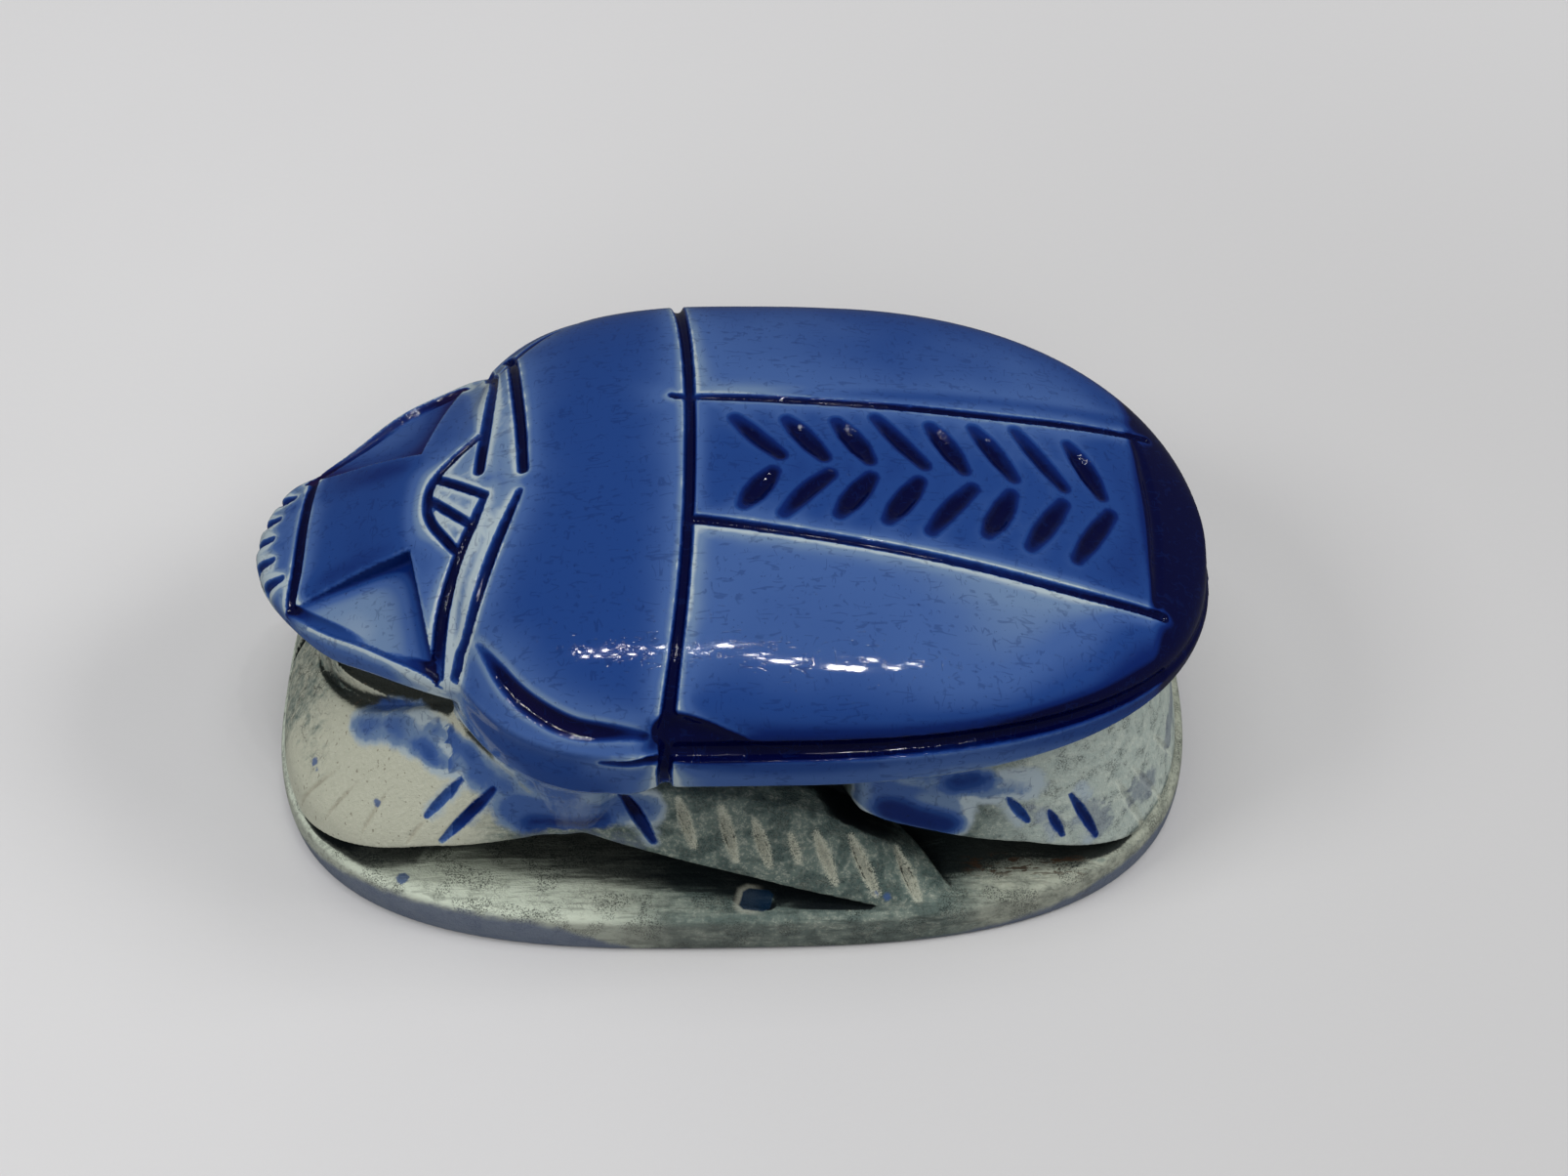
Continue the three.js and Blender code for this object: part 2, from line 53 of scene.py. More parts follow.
def blendMax(a, b, radius):
    share = np.clip(0.5 + 0.5 * (a - b) / radius, 0, 1)
    return b + (a - b) * share + radius * share * (1 - share)


def blendMin(a, b, radius):
    return -blendMax(-a, -b, radius)


def smoothStep(low, high, x):
    t = np.clip((x - low) / (high - low), 0, 1)
    return t * t * (3 - 2 * t)


base = {"halfLength": 45.0, "halfWidth": 30.5, "power": 2.95, "height": 4.6, "edge": 1.0}
belly = {"halfLength": 40.0, "halfWidth": 20.0, "power": 2.3, "top": 24.0}
throat = {"centreX": -20.0, "halfLength": 20.5, "halfWidth": 15.0, "power": 2.2, "top": 23.0}


def ovalDistance(x, y, halfLength, halfWidth, power, centreX=0.0):
    u = np.abs(x - centreX) / halfLength
    v = np.abs(y) / halfWidth
    total = np.maximum(u ** power + v ** power, 1e-6)
    root = total ** (1 / power)
    slope = np.hypot(u ** (power - 1) / halfLength, v ** (power - 1) / halfWidth) * total ** (1 / power - 1)
    return (root - 1) / np.maximum(slope, 1e-3)


def baseField(x, y, z):
    side = ovalDistance(x, y, base["halfLength"], base["halfWidth"], base["power"])
    lean = 0.25 * ((z - 2.0) / 2.5) ** 2  # the slab's side is a little rounded
    upper = blendMax(side + lean, z - base["height"], base["edge"])
    return blendMax(upper, -z, 0.35)


def bodyCore(x, y, z):
    outer = ovalDistance(x, y, belly["halfLength"], belly["halfWidth"], belly["power"])
    inner = ovalDistance(x, y, throat["halfLength"], throat["halfWidth"], throat["power"], throat["centreX"])
    inner = np.maximum(inner, z - throat["top"])
    return blendMin(np.maximum(outer, z - belly["top"]), inner, 1.0)


back = {
    "halfWidth": 27.6, "widestX": 5.0, "tailX": 45.1, "shoulderX": -27.0,
    "tailPower": 2.38, "shoulderPower": 5.0, "shoulderRoot": 1.8,
    "crest": 35.1, "crestX": -3.0, "tailCrest": 24.2, "tailRoot": 0.88,
    "foreSlope": 0.0105, "forePower": 1.89, "springing": 26.5, "springingDrop": 4.4,
    "sectionPower": 2.4, "shoulderFullness": -0.35, "tailFullness": 0.6,
}
hem = {"proud": 0.8, "bottom": 22.3, "tailDrop": 0.8}
shoulder = {"startX": -26.4, "endX": -6.0, "bottom": 11.6}


def backHalfWidth(x):
    tail = x > back["widestX"]
    reach = np.where(tail, back["tailX"] - back["widestX"], back["widestX"] - back["shoulderX"])
    power = np.where(tail, back["tailPower"], back["shoulderPower"])
    root = np.where(tail, back["tailPower"], back["shoulderRoot"])
    share = np.clip(np.abs(x - back["widestX"]) / reach, 0, 1)
    return back["halfWidth"] * (1 - share ** power) ** (1 / root)


def backOutline(x, y):
    tail = x > back["widestX"]
    reach = np.where(tail, back["tailX"] - back["widestX"], back["widestX"] - back["shoulderX"])
    power = np.where(tail, back["tailPower"], back["shoulderPower"])
    root = np.where(tail, back["tailPower"], back["shoulderRoot"])
    t = np.abs(x - back["widestX"]) / reach
    u = np.abs(y) / back["halfWidth"]
    slope = np.hypot(power * t ** (power - 1) / reach, root * u ** (root - 1) / back["halfWidth"])
    return (t ** power + u ** root - 1) / np.maximum(slope, 0.02)


def crestHeight(x):
    fore = back["crest"] - back["foreSlope"] * np.clip(back["crestX"] - x, 0, 60) ** back["forePower"]
    share = np.clip((x - back["crestX"]) / (back["tailX"] - back["crestX"]), 0, 1)
    tail = back["tailCrest"] + (back["crest"] - back["tailCrest"]) * (1 - share ** 2) ** back["tailRoot"]
    return np.where(x < back["crestX"], fore, tail)


def springingHeight(x):
    share = np.clip((x - 2) / (back["tailX"] - 2), 0, 1)
    return back["springing"] - back["springingDrop"] * share ** 3


def sectionPower(x):
    towardsHead = np.clip((-5 - x) / 20, 0, 1)
    towardsTail = np.clip((x - 10) / 35, 0, 1)
    return back["sectionPower"] + back["shoulderFullness"] * towardsHead + back["tailFullness"] * towardsTail


def domeValue(x, y, z):
    half = np.maximum(backHalfWidth(x), 0.3)
    low = springingHeight(x)
    power = sectionPower(x)
    up = np.clip(z - low, 0, None) / np.maximum(crestHeight(x) - low, 0.5)
    return ((np.abs(y) / half) ** power + up ** power + 1e-6) ** (1 / power) - 1


def domeField(x, y, z):
    step = 0.08
    value = domeValue(x, y, z)
    slopeX = (domeValue(x + step, y, z) - value) / step
    slopeY = (domeValue(x, y + step, z) - value) / step
    slopeZ = (domeValue(x, y, z + step) - value) / step
    slope = np.sqrt(slopeX ** 2 + slopeY ** 2 + slopeZ ** 2)
    dome = value / np.clip(slope, 0.02, 3.0)
    return np.maximum(np.maximum(dome, backOutline(x, y)), hem["bottom"] - z)


def hemField(x, y, z):
    towardsTail = smoothStep(28, back["tailX"], x)
    side = backOutline(x, y) - hem["proud"] * (1 - 0.5 * towardsTail)
    bottom = hem["bottom"] - hem["tailDrop"] * towardsTail
    return blendMax(side, np.maximum(z - springingHeight(x), bottom - z), 0.45)


def shoulderField(x, y, z):
    # the wall under the pronotum, which runs down into the roots of the legs
    low = shoulder["bottom"] + 7 * smoothStep(19, 26.4, -x) + 9.4 * smoothStep(-17, -6, x)
    down = np.clip((hem["bottom"] + 1.5 - z) / (hem["bottom"] + 1.5 - low), 0, 1)
    side = backOutline(x, y) - 0.6 + 2.4 * down ** 1.6 + 4 * smoothStep(-12, -6.5, x) * down ** 0.5
    wall = blendMax(side, np.maximum(low - z, z - hem["bottom"] - 1.5), 1.2)
    return np.maximum(wall, np.maximum(shoulder["startX"] - x, x - shoulder["endX"]))


def backField(x, y, z):
    # behind the pronotum the hem is a crisp band, in front of it the band melts into the wall
    soft = 0.25 + 3.2 * smoothStep(5.2, 9.0, -x)
    whole = blendMin(domeField(x, y, z), hemField(x, y, z), soft)
    return blendMin(whole, shoulderField(x, y, z), 0.8 + 1.2 * smoothStep(8, 14, -x))


head = {
    "rootX": -20.0, "noseX": -45.1, "halfWidth": 20.5, "power": 1.57, "farCorner": 2.2, "rimDip": 1.0,
    "rim": 26.2, "rimSlope": 0.0105, "rimStart": -26.5, "rimThickness": 2.3,
    "underside": 20.5, "undersideShare": 0.55,
}


def headOutline(x, y):
    reach = head["rootX"] - head["noseX"]
    t = np.clip(head["rootX"] - x, 0, None) / reach
    grown = head["farCorner"] * smoothStep(39.5, 43.5, -x) + 0.9 * np.exp(-((x + 25) / 3.2) ** 2)
    side = np.where(y > 0, np.maximum(y - grown, 0), -y)
    u = side / head["halfWidth"]
    power = head["power"]
    total = np.maximum(t ** power + u ** power, 1e-6)
    slope = np.hypot(t ** (power - 1) / reach, u ** (power - 1) / head["halfWidth"]) * total ** (1 / power - 1)
    return (total ** (1 / power) - 1) / np.maximum(slope, 1e-3)


def headHalfWidth(x):
    share = np.clip((head["rootX"] - x) / (head["rootX"] - head["noseX"]), 0, 1)
    return head["halfWidth"] * (1 - share ** head["power"]) ** (1 / head["power"])


def headRim(x):
    dip = head["rimDip"] * np.exp(-((x + 37) / 3.5) ** 2)
    return head["rim"] - head["rimSlope"] * np.clip(head["rimStart"] - x, 0, None) ** 2 - dip


def headField(x, y, z):
    half = np.maximum(headHalfWidth(x), 0.4)
    share = np.clip(np.abs(y) / half, 0, 1)
    rim = headRim(x)
    rise = np.maximum(crestHeight(x) - rim, 0)
    slope = 2 * rise * share / half
    top = (z - rim - rise * (1 - share ** 2)) / np.sqrt(1.12 + slope ** 2)
    inner = np.minimum(head["underside"], rim - head["rimThickness"] - 0.4)
    spread = np.clip((share - head["undersideShare"]) / (1 - head["undersideShare"]), 0, 1)
    under = (inner + (rim - head["rimThickness"] - inner) * spread - z) * 0.9
    whole = blendMax(blendMax(top, headOutline(x, y), 0.9), under, 0.5)
    return np.maximum(whole, x + 17)


# Each station is a place on the base's outline, then the leg's lower edge, the break in its
# outer face and its upper inner edge, each as a share of the outline's radius and a height.

frontLeg = {
    "at": [-45, -44.3, -42.5, -40, -37, -34, -30, -25, -18, -15],
    "edge": [(0.99, 4.2), (0.99, 4.2), (0.99, 4.4), (0.99, 5.8), (0.985, 7.3), (0.975, 8.7),
             (0.945, 10.2), (0.91, 11.0), (0.838, 11.5), (0.83, 12.0)],
    "face": [(0.965, 9.0), (0.968, 9.0), (0.972, 9.0), (0.975, 9.2), (0.972, 9.8), (0.962, 10.5),
             (0.938, 11.5), (0.905, 12.2), (0.84, 13.0), (0.835, 14.0)],
    "crest": [(0.89, 14.2), (0.88, 14.5), (0.84, 15.5), (0.79, 18.0), (0.74, 20.0), (0.73, 20.5),
              (0.76, 20.0), (0.81, 19.2), (0.83, 18.5), (0.83, 18.5)],
}
hindLeg = {
    "at": [14.5, 17, 21, 25, 29, 34, 38, 41, 43.8, 45],
    "edge": [(0.81, 13.0), (0.85, 12.2), (0.885, 11.5), (0.915, 10.7), (0.945, 9.8), (0.98, 7.3),
             (0.992, 5.0), (0.995, 4.2), (0.995, 4.0), (0.995, 4.0)],
    "face": [(0.82, 14.5), (0.85, 13.5), (0.88, 12.8), (0.91, 12.1), (0.94, 11.4), (0.97, 9.4),
             (0.98, 8.0), (0.98, 7.6), (0.978, 7.5), (0.975, 7.5)],
    "crest": [(0.83, 22.8), (0.86, 22.8), (0.85, 22.8), (0.83, 22.8), (0.86, 22.8), (0.89, 22.6),
              (0.91, 22.4), (0.92, 22.2), (0.925, 22.0), (0.925, 22.0)],
}
middleLeg = {
    "at": [-18, -8, 2.2, 11, 19.4, 22],
    "edge": [(0.838, 11.5), (0.868, 9.4), (0.902, 7.1), (0.95, 5.4), (1.0, 3.5), (0.985, 3.5)],
    "face": [(0.84, 13.0), (0.868, 10.9), (0.9, 8.6), (0.946, 6.7), (0.996, 4.6), (0.98, 4.4)],
    "crest": [(0.83, 18.5), (0.815, 16.8), (0.805, 14.8), (0.805, 12.4), (0.82, 8.0), (0.82, 6.6)],
}
legSettings = {"inner": 0.5, "underDrop": 1.2, "crown": 0.06}


def outlineShare(x, y):
    power = base["power"]
    total = (np.abs(x) / base["halfLength"]) ** power + (np.abs(y) / base["halfWidth"]) ** power
    return np.maximum(total, 1e-6) ** (1 / power)


def outsideLine(u, z, fromU, fromZ, toU, toZ):
    run, rise = toU - fromU, toZ - fromZ
    length = np.maximum(np.hypot(run, rise), 1e-3)
    return ((u - fromU) * rise - (z - fromZ) * run) / length


def legStation(leg, key, item, rimX):
    return np.interp(rimX, leg["at"], [pair[item] for pair in leg[key]])


def legField(x, y, z, leg):
    share = outlineShare(x, y)
    rimX = x / share
    u = np.hypot(x, y)
    radius = u / share
    edgeU, edgeZ = legStation(leg, "edge", 0, rimX) * radius, legStation(leg, "edge", 1, rimX)
    faceU, faceZ = legStation(leg, "face", 0, rimX) * radius, legStation(leg, "face", 1, rimX)
    crestU, crestZ = legStation(leg, "crest", 0, rimX) * radius, legStation(leg, "crest", 1, rimX)
    crownU = (faceU + crestU) / 2
    crownZ = (faceZ + crestZ) / 2 + legSettings["crown"] * (crestZ - faceZ)
    under = np.maximum(edgeZ - legSettings["underDrop"], base["height"] - 1)
    innerU = legSettings["inner"] * radius
    whole = outsideLine(u, z, edgeU, edgeZ, faceU, faceZ)
    whole = blendMax(whole, outsideLine(u, z, innerU, under, edgeU, edgeZ), 0.35)
    whole = blendMax(whole, outsideLine(u, z, faceU, faceZ, crownU, crownZ), 0.8)
    whole = blendMax(whole, outsideLine(u, z, crownU, crownZ, crestU, crestZ), 1.6)
    whole = blendMax(whole, z - crestZ, 0.5)
    if leg["at"][0] > -40:
        whole = blendMax(whole, (leg["at"][0] - rimX) * 0.85, 0.6)
    if leg["at"][-1] < 40:
        whole = blendMax(whole, (rimX - leg["at"][-1]) * 0.85, 0.6)
    return whole


def plainField(x, y, z):
    whole = blendMin(baseField(x, y, z), bodyCore(x, y, z), 0.6)
    legs = blendMin(legField(x, y, z, middleLeg), legField(x, y, z, frontLeg), 0.9)
    legs = blendMin(legs, legField(x, y, z, hindLeg), 0.3)
    upper = blendMin(backField(x, y, z), headField(x, y, z), 0.35)
    rootSoftness = 0.5 + 2.2 * smoothStep(5, 9, -x) * (1 - smoothStep(24, 27, -x))
    upper = blendMin(upper, legs, rootSoftness)
    return blendMin(whole, upper, 0.4)


def slopeOf(field, points, step):
    x, y, z = points.T
    return np.stack([
        (field(x + step, y, z) - field(x - step, y, z)) / (2 * step),
        (field(x, y + step, z) - field(x, y - step, z)) / (2 * step),
        (field(x, y, z + step) - field(x, y, z - step)) / (2 * step),
    ], 1)


def settle(field, points, rounds):
    # walks points along the slope until they lie on the surface
    for _ in range(rounds):
        value = field(*points.T)
        moved = [field(*(points + 0.03 * axis).T) for axis in np.eye(3)]
        slope = (np.stack(moved, 1) - value[:, None]) / 0.03
        points = points - slope * (np.clip(value, -0.6, 0.6) / np.maximum((slope ** 2).sum(1), 0.2))[:, None]
    return points


def throughPlaces(places, spacing=0.7):
    # a smooth line through a few places, with points about one spacing apart
    places = np.array(places, float)
    padded = np.vstack([2 * places[0] - places[1], places, 2 * places[-1] - places[-2]])
    line = []
    for i in range(len(places) - 1):
        a, b, c, d = padded[i:i + 4]
        count = max(2, int(np.ceil(np.linalg.norm(c - b) / spacing)))
        for t in np.arange(count) / count:
            line.append(0.5 * (2 * b + (c - a) * t + (2 * a - 5 * b + 4 * c - d) * t ** 2
                               + (3 * b - a - 3 * c + d) * t ** 3))
    line.append(places[-1])
    return np.array(line)


def topHeight(x, y):
    share = np.clip(np.abs(y) / np.maximum(backHalfWidth(x), 0.3), 0, 1)
    power = sectionPower(x)
    low = springingHeight(x)
    dome = low + np.maximum(crestHeight(x) - low, 0.5) * (1 - share ** power) ** (1 / power)
    headShare = np.abs(y) / np.maximum(headHalfWidth(x), 0.4)
    wedge = headRim(x) + (crestHeight(x) - headRim(x)) * (1 - np.clip(headShare, 0, 1) ** 2)
    dome = np.where(np.abs(y) < backHalfWidth(x), dome, 0)
    return np.where((x < head["rootX"]) & (headShare < 1), np.maximum(dome, wedge), dome)


cuts = []
belowHead = 15.0  # lower than any place on the top of the carving


def cutLine(line, radii, lift=0.0, kind="line", bare=0.0, soft=0.16, onSurface=True):
    # a rounded tool drawn along a line on the surface; the radii are spread evenly along it
    line = settle(plainField, np.asarray(line, float), 4) if onSurface else np.asarray(line, float)
    if lift:
        slope = slopeOf(plainField, line, 0.05)
        line = line + lift * slope / np.linalg.norm(slope, axis=1)[:, None]
    spread = np.interp(np.linspace(0, 1, len(line)), np.linspace(0, 1, len(radii)), radii)
    cuts.append({"line": line, "radii": spread, "kind": kind, "bare": bare, "soft": soft})


def cutTop(places, radii, lift=0.0, kind="line", bare=0.0, soft=0.16):
    flat = throughPlaces(places)
    line = np.column_stack([flat, topHeight(flat[:, 0], flat[:, 1])])
    cutLine(line[line[:, 2] > belowHead], radii, lift, kind, bare, soft)  # nothing past the head's edge


def onBack(x, turn):
    power = sectionPower(x)
    low = springingHeight(x)
    side = np.sign(turn) * np.abs(np.sin(turn)) ** (2 / power)
    return np.array([x, backHalfWidth(x) * side, low + (crestHeight(x) - low) * np.cos(turn) ** (2 / power)])


lines = {
    "collarNear": [(-22.2, -2), (-23.1, -4.8), (-24.3, -8.2), (-25.2, -11.5), (-25.7, -14.3), (-26.0, -19.3)],
    "collarFar": [(-23, 1.2), (-22.8, 8.2), (-22.8, 15.3), (-23.4, 20)],
    "foreNear": [(-19.0, -2.4), (-19.4, -3.6), (-21, -8.6), (-22.6, -14.2), (-24, -19)],
    "foreFar": [(-18.8, 0.3), (-19.5, 7), (-20.8, 16), (-21.6, 20.6)],
    "bandNear": [(-3.4, -7.8), (9.1, -9.7), (22.1, -11.5), (31, -12.6), (39.4, -12.9)],
    "bandFar": [(-5.2, 8.3), (-3.4, 8), (9.6, 7.6), (23.5, 8), (33.2, 9.1), (40.6, 10.2)],
    "noseLine": [(-40.7, -8.2), (-40.3, -4), (-40.3, 2), (-40.1, 9)],
    "brow": [(-23.3, 6.4), (-25.6, 3.9), (-27.3, 1.6), (-27.8, -0.8), (-27.2, -3.8), (-24.4, -8.0)],
    "browCutA": [(-27.2, 1.6), (-22.3, -2.0)],
    "browCutB": [(-27.7, -0.9), (-23.2, -5.4)],
    "headRim": [(-40.6, 8.3), (-35.1, 12.4), (-30.3, 15.8), (-26.3, 18.2)],
    "panelEnd": [(38.6, -12.4), (39.2, -9), (39.9, -1), (39.6, 7), (38.8, 10.2)],
}


def cutBack():
    turns = np.radians(np.linspace(-90, 90, 61))
    divide = [onBack(-3.4 - 2.0 * np.sin(t) ** 2, t) for t in turns]
    foot = [np.array([-5.7, 28.3 * s, z]) for s, z in ((-1, 24.6), (-1, 22.2))]
    near = [p for p in foot[::-1]]
    far = [p * np.array([1, -1, 1]) for p in foot]
    cutLine(near + divide + far, [0.62, 0.62, 0.5, 0.47, 0.47, 0.47, 0.5, 0.62, 0.62])
    cutTop(lines["bandNear"], [0.5, 0.45, 0.42, 0.42, 0.45, 0.4])
    cutTop(lines["bandFar"], [0.25, 0.42, 0.36, 0.36, 0.36, 0.35, 0.3])
    cutTop(lines["foreNear"], [0.25, 0.45, 0.52, 0.52, 0.5])
    cutTop(lines["foreFar"], [0.45, 0.5, 0.5])
    cutTop(lines["panelEnd"], [0.5, 0.75, 0.75, 0.75, 0.5], 0.5, "soft")
    for side in (-1, 1):
        along = np.linspace(-4.4, 39, 60)
        gap = [(x, side * (backHalfWidth(x) + 0.15), springingHeight(x) + 0.1) for x in along]
        cutLine(gap, [0.8, 0.8, 0.78, 0.75, 0.7, 0.55, 0.3], 0.12, "hem", soft=0.45)
        lead = [(x, side * 28.2, 26.2) for x in np.linspace(-11, -6, 8)]
        cutLine(lead, [0.15, 0.3, 0.45], 0.05)
        notch = np.array([(-4.6, 2.3), (-2.4, 1.9), (0.2, 1.2), (3.2, 0.5)])
        notch = throughPlaces(notch)
        corner = [(x, side * (backHalfWidth(x) - 0.1), springingHeight(x) + rise) for x, rise in notch]
        cutLine(corner, [2.2, 1.8, 1.3, 0.6], 1.15, "hem", soft=0.4)
        groove = throughPlaces([(-22.1, 17.7), (-19.2, 22.0), (-16.6, 24.5), (-13, 26.3), (-7.4, 27.2)])
        groove[:, 1] *= side
        groove = np.column_stack([groove, topHeight(groove[:, 0], groove[:, 1])])
        cutLine(groove, [0.5, 0.95, 1.1, 1.1, 0.95, 0.6], 0.55, "flank", soft=0.4)


# Rows of shallow slanting strokes between the bands.
strokeRows = {"from": 2.8, "to": 33.6, "count": 8, "lean": 1.7, "width": 1.05}


def cutPanel():
    for i in range(strokeRows["count"]):
        share = i / (strokeRows["count"] - 1)
        x = strokeRows["from"] + (strokeRows["to"] - strokeRows["from"]) * share
        reach = 5.9 + 2.1 * share
        for side in (-1, 1):
            wobble = math.sin(2.3 * i + side)
            lean, width = strokeRows["lean"] * (1 + 0.25 * wobble), strokeRows["width"] * (1 - 0.12 * wobble)
            places = [(x - lean, side * reach * (0.94 + 0.06 * wobble) - 0.9), (x, side * reach * 0.55 - 0.9),
                      (x + lean, side * 1.1 - 0.9)]
            cutTop(places, [0.7, width, width, 0.75], 0.55, "stroke", soft=0.3)


def cutHead():
    cutTop(lines["collarNear"], [0.25, 0.5, 0.55, 0.58, 0.6, 0.6])
    cutTop(lines["collarFar"], [0.45, 0.5, 0.5, 0.45])
    cutTop(lines["noseLine"], [0.5, 0.52, 0.48, 0.45])
    cutTop(lines["brow"], [0.3, 0.42, 0.42, 0.42, 0.42, 0.35])
    cutTop(lines["browCutA"], [0.42, 0.42, 0.38])
    cutTop(lines["browCutB"], [0.42, 0.42, 0.38])
    for side in (-1, 1):
        cutTop([(x, side * y) for x, y in lines["headRim"]], [0.5, 0.62, 0.62, 0.62], soft=0.25)
    ahead = np.linspace(-45.4, -40, 200)
    for y in (-4.7, -2.0, 0.9, 3.6, 6.3):
        tip = ahead[np.argmax(headOutline(ahead, np.full(200, y)) < 0)]
        height = headRim(tip)
        notch = [(tip - 0.1, y, height - 1.3), (tip + 0.2, y, height - 0.3), (tip + 0.8, y * 0.99, height + 0.1),
                 (tip + 1.9, y * 0.97, height + 0.5)]
        cutLine(throughPlaces(notch), [0.6, 0.62, 0.55, 0.3], 0.1, "notch")
    # the dark gap between the head and the front legs, the fold before it, the crease at the legs' roots
    for side in (-1, 1):
        gap = throughPlaces([(-36.6, 9.2, 17.6), (-35.0, 10.8, 18.2), (-33.0, 12.3, 19.0), (-30.5, 14.0, 20.0),
                             (-28.0, 15.6, 20.8), (-25.8, 16.9, 21.2)]) * (1, side, 1)
        cutLine(gap, [0.3, 0.9, 1.6, 1.9, 1.5, 1.0], kind="hollow", soft=0.4, onSurface=False)
        seam = throughPlaces([(-40.4, 5.2, 14.4), (-38.9, 7.6, 14.4), (-37.4, 9.6, 14.7), (-35.8, 11.6, 15.2)])
        cutLine(seam * (1, side, 1), [0.1, 0.2, 0.2, 0.1], 0.05, "seam")
        crease = throughPlaces([(-23.9, 19.2, 20.8), (-22.6, 20.5, 20.5), (-21.0, 22.0, 19.9)])
        cutLine(crease * (1, side, 1), [0.3, 0.5, 0.15], 0.15, "crease", soft=0.35)


# Each nick has its foot, its head, the tool's radius, and how bare of glaze it is.
nicks = {
    "front": [((-40.2, 16.8, 5.8), (-35.8, 17.4, 12.4), 0.25, 1), ((-36.9, 20.1, 8.2), (-33.7, 19.2, 12.9), 0.22, 1),
              ((-33.3, 22.7, 9.1), (-30.5, 20.7, 13.6), 0.22, 1), ((-28.9, 24.1, 10.2), (-27.5, 23.8, 12.8), 0.24, 1),
              ((-27.4, 23.6, 13.0), (-24.3, 22.4, 16.5), 0.44, 0),
              ((-25.8, 24.7, 11.1), (-21.2, 23.5, 16.6), 0.46, 0)],
    "middle": [((-7.3, 26.2, 11.2), (-9.9, 24.8, 17.0), 0.52, 0), ((-3.6, 26.6, 10.7), (-4.9, 25.0, 15.8), 0.45, 1),
               ((0.3, 27.2, 9.3), (-1.0, 25.1, 14.6), 0.45, 1), ((3.4, 27.4, 8.8), (2.1, 25.5, 13.0), 0.45, 1),
               ((6.2, 27.4, 9.0), (5.4, 26.0, 11.5), 0.3, 1), ((9.5, 28.3, 7.2), (7.7, 25.5, 11.4), 0.45, 1),
               ((13.3, 28.7, 6.1), (11.0, 25.2, 10.3), 0.5, 1), ((17.2, 28.8, 5.2), (15.4, 25.1, 8.0), 0.5, 1)],
    "hind": [((26.1, 24.3, 12.5), (24.5, 24.3, 15.5), 0.42, 0), ((29.4, 23.9, 9.7), (27.8, 23.6, 13.3), 0.38, 0),
             ((32.6, 22.8, 8.1), (29.5, 22.6, 14.5), 0.44, 0), ((38.0, 19.8, 5.2), (34.2, 20.6, 13.3), 0.4, 1),
             ((40.2, 17.0, 5.4), (36.3, 19.4, 13.4), 0.35, 1), ((42.5, 12.9, 6.3), (38.9, 16.3, 13.7), 0.35, 1)],
}


def outerFace(line):
    # each point of the line, moved level and outwards onto the outermost surface
    shares = np.linspace(1.1, 0.9, 101)
    moved = []
    for point in line:
        along = point * np.column_stack([shares, shares, np.ones(101)])
        solid = plainField(*along.T) < 0
        moved.append(along[np.argmax(solid)] if solid.any() else None)
    return np.array([place for place in moved if place is not None])


def cutLegs():
    for side in (-1, 1):
        for group in nicks.values():
            for foot, top, radius, bare in group:
                line = outerFace(throughPlaces([foot, np.mean([foot, top], 0), top]) * (1, side, 1))
                cutLine(line, [radius * 0.5, radius, radius, radius * 0.35], 0.12, "nick", bare, onSurface=False)
    cutLine(throughPlaces([(0.9, -27.8, 4.6), (3.2, -28.3, 4.6)]), [1.3, 1.3], 1.0, "chip", soft=0.1)
    cutLine(throughPlaces([(-45.2, 0, 5.2), (-43.4, 0, 9), (-40.6, 0, 13.6)]), [0.5, 0.7, 0.5])
    cutLine(throughPlaces([(44.6, 0, 5.2), (44.0, 0, 9), (42.9, 0, 15), (41.9, 0, 21)]), [0.5, 0.7, 0.7, 0.5])


cutBack()
cutPanel()
cutHead()
cutLegs()
print("tool paths:", len(cuts))


def toolDistance(points, cut, reach):
    # distance to one tool path, only for the points near it
    lowest = cut["line"].min(0) - cut["radii"].max() - reach
    highest = cut["line"].max(0) + cut["radii"].max() + reach
    near = np.nonzero(((points > lowest) & (points < highest)).all(1))[0]
    if len(near) == 0:
        return near, None
    p = points[near]
    best = np.full(len(near), 99.0)
    for a, b, ra, rb in zip(cut["line"][:-1], cut["line"][1:], cut["radii"][:-1], cut["radii"][1:]):
        span = b - a
        t = np.clip(((p - a) @ span) / max(span @ span, 1e-9), 0, 1)
        gap = np.linalg.norm(p - a - t[:, None] * span, axis=1) - (ra + (rb - ra) * t)
        best = np.minimum(best, gap)
    return near, best


# The sunk cheeks: corners in plan, with how deep each is sunk.
cheek = {"corners": [(-40.1, 8.2, 0.15), (-29.1, 6.2, 1.7), (-26.4, 17.4, 0.3)], "rimSide": 0.7}


def cheekField(x, y, z):
    side = np.abs(y)
    corners = cheek["corners"]
    places = [np.array([cx, cy, topHeight(np.array(cx), np.array(cy)) - sunk]) for cx, cy, sunk in corners]
    normal = np.cross(places[1] - places[0], places[2] - places[0])
    normal = normal * np.sign(normal[2]) / np.linalg.norm(normal)
    floor = -((x - places[0][0]) * normal[0] + (side - places[0][1]) * normal[1] + (z - places[0][2]) * normal[2])
    walls = -99.0
    for k in range(3):
        a, b, c = places[k], places[(k + 1) % 3], places[(k + 2) % 3]
        outward = np.array([b[1] - a[1], a[0] - b[0]])
        outward = outward * -np.sign(outward @ (c[:2] - a[:2])) / np.linalg.norm(outward)
        wall = (x - a[0]) * outward[0] + (side - a[1]) * outward[1]
        walls = np.maximum(walls, wall - (cheek["rimSide"] if k == 2 else 0))
    return blendMax(floor, walls, 0.25)


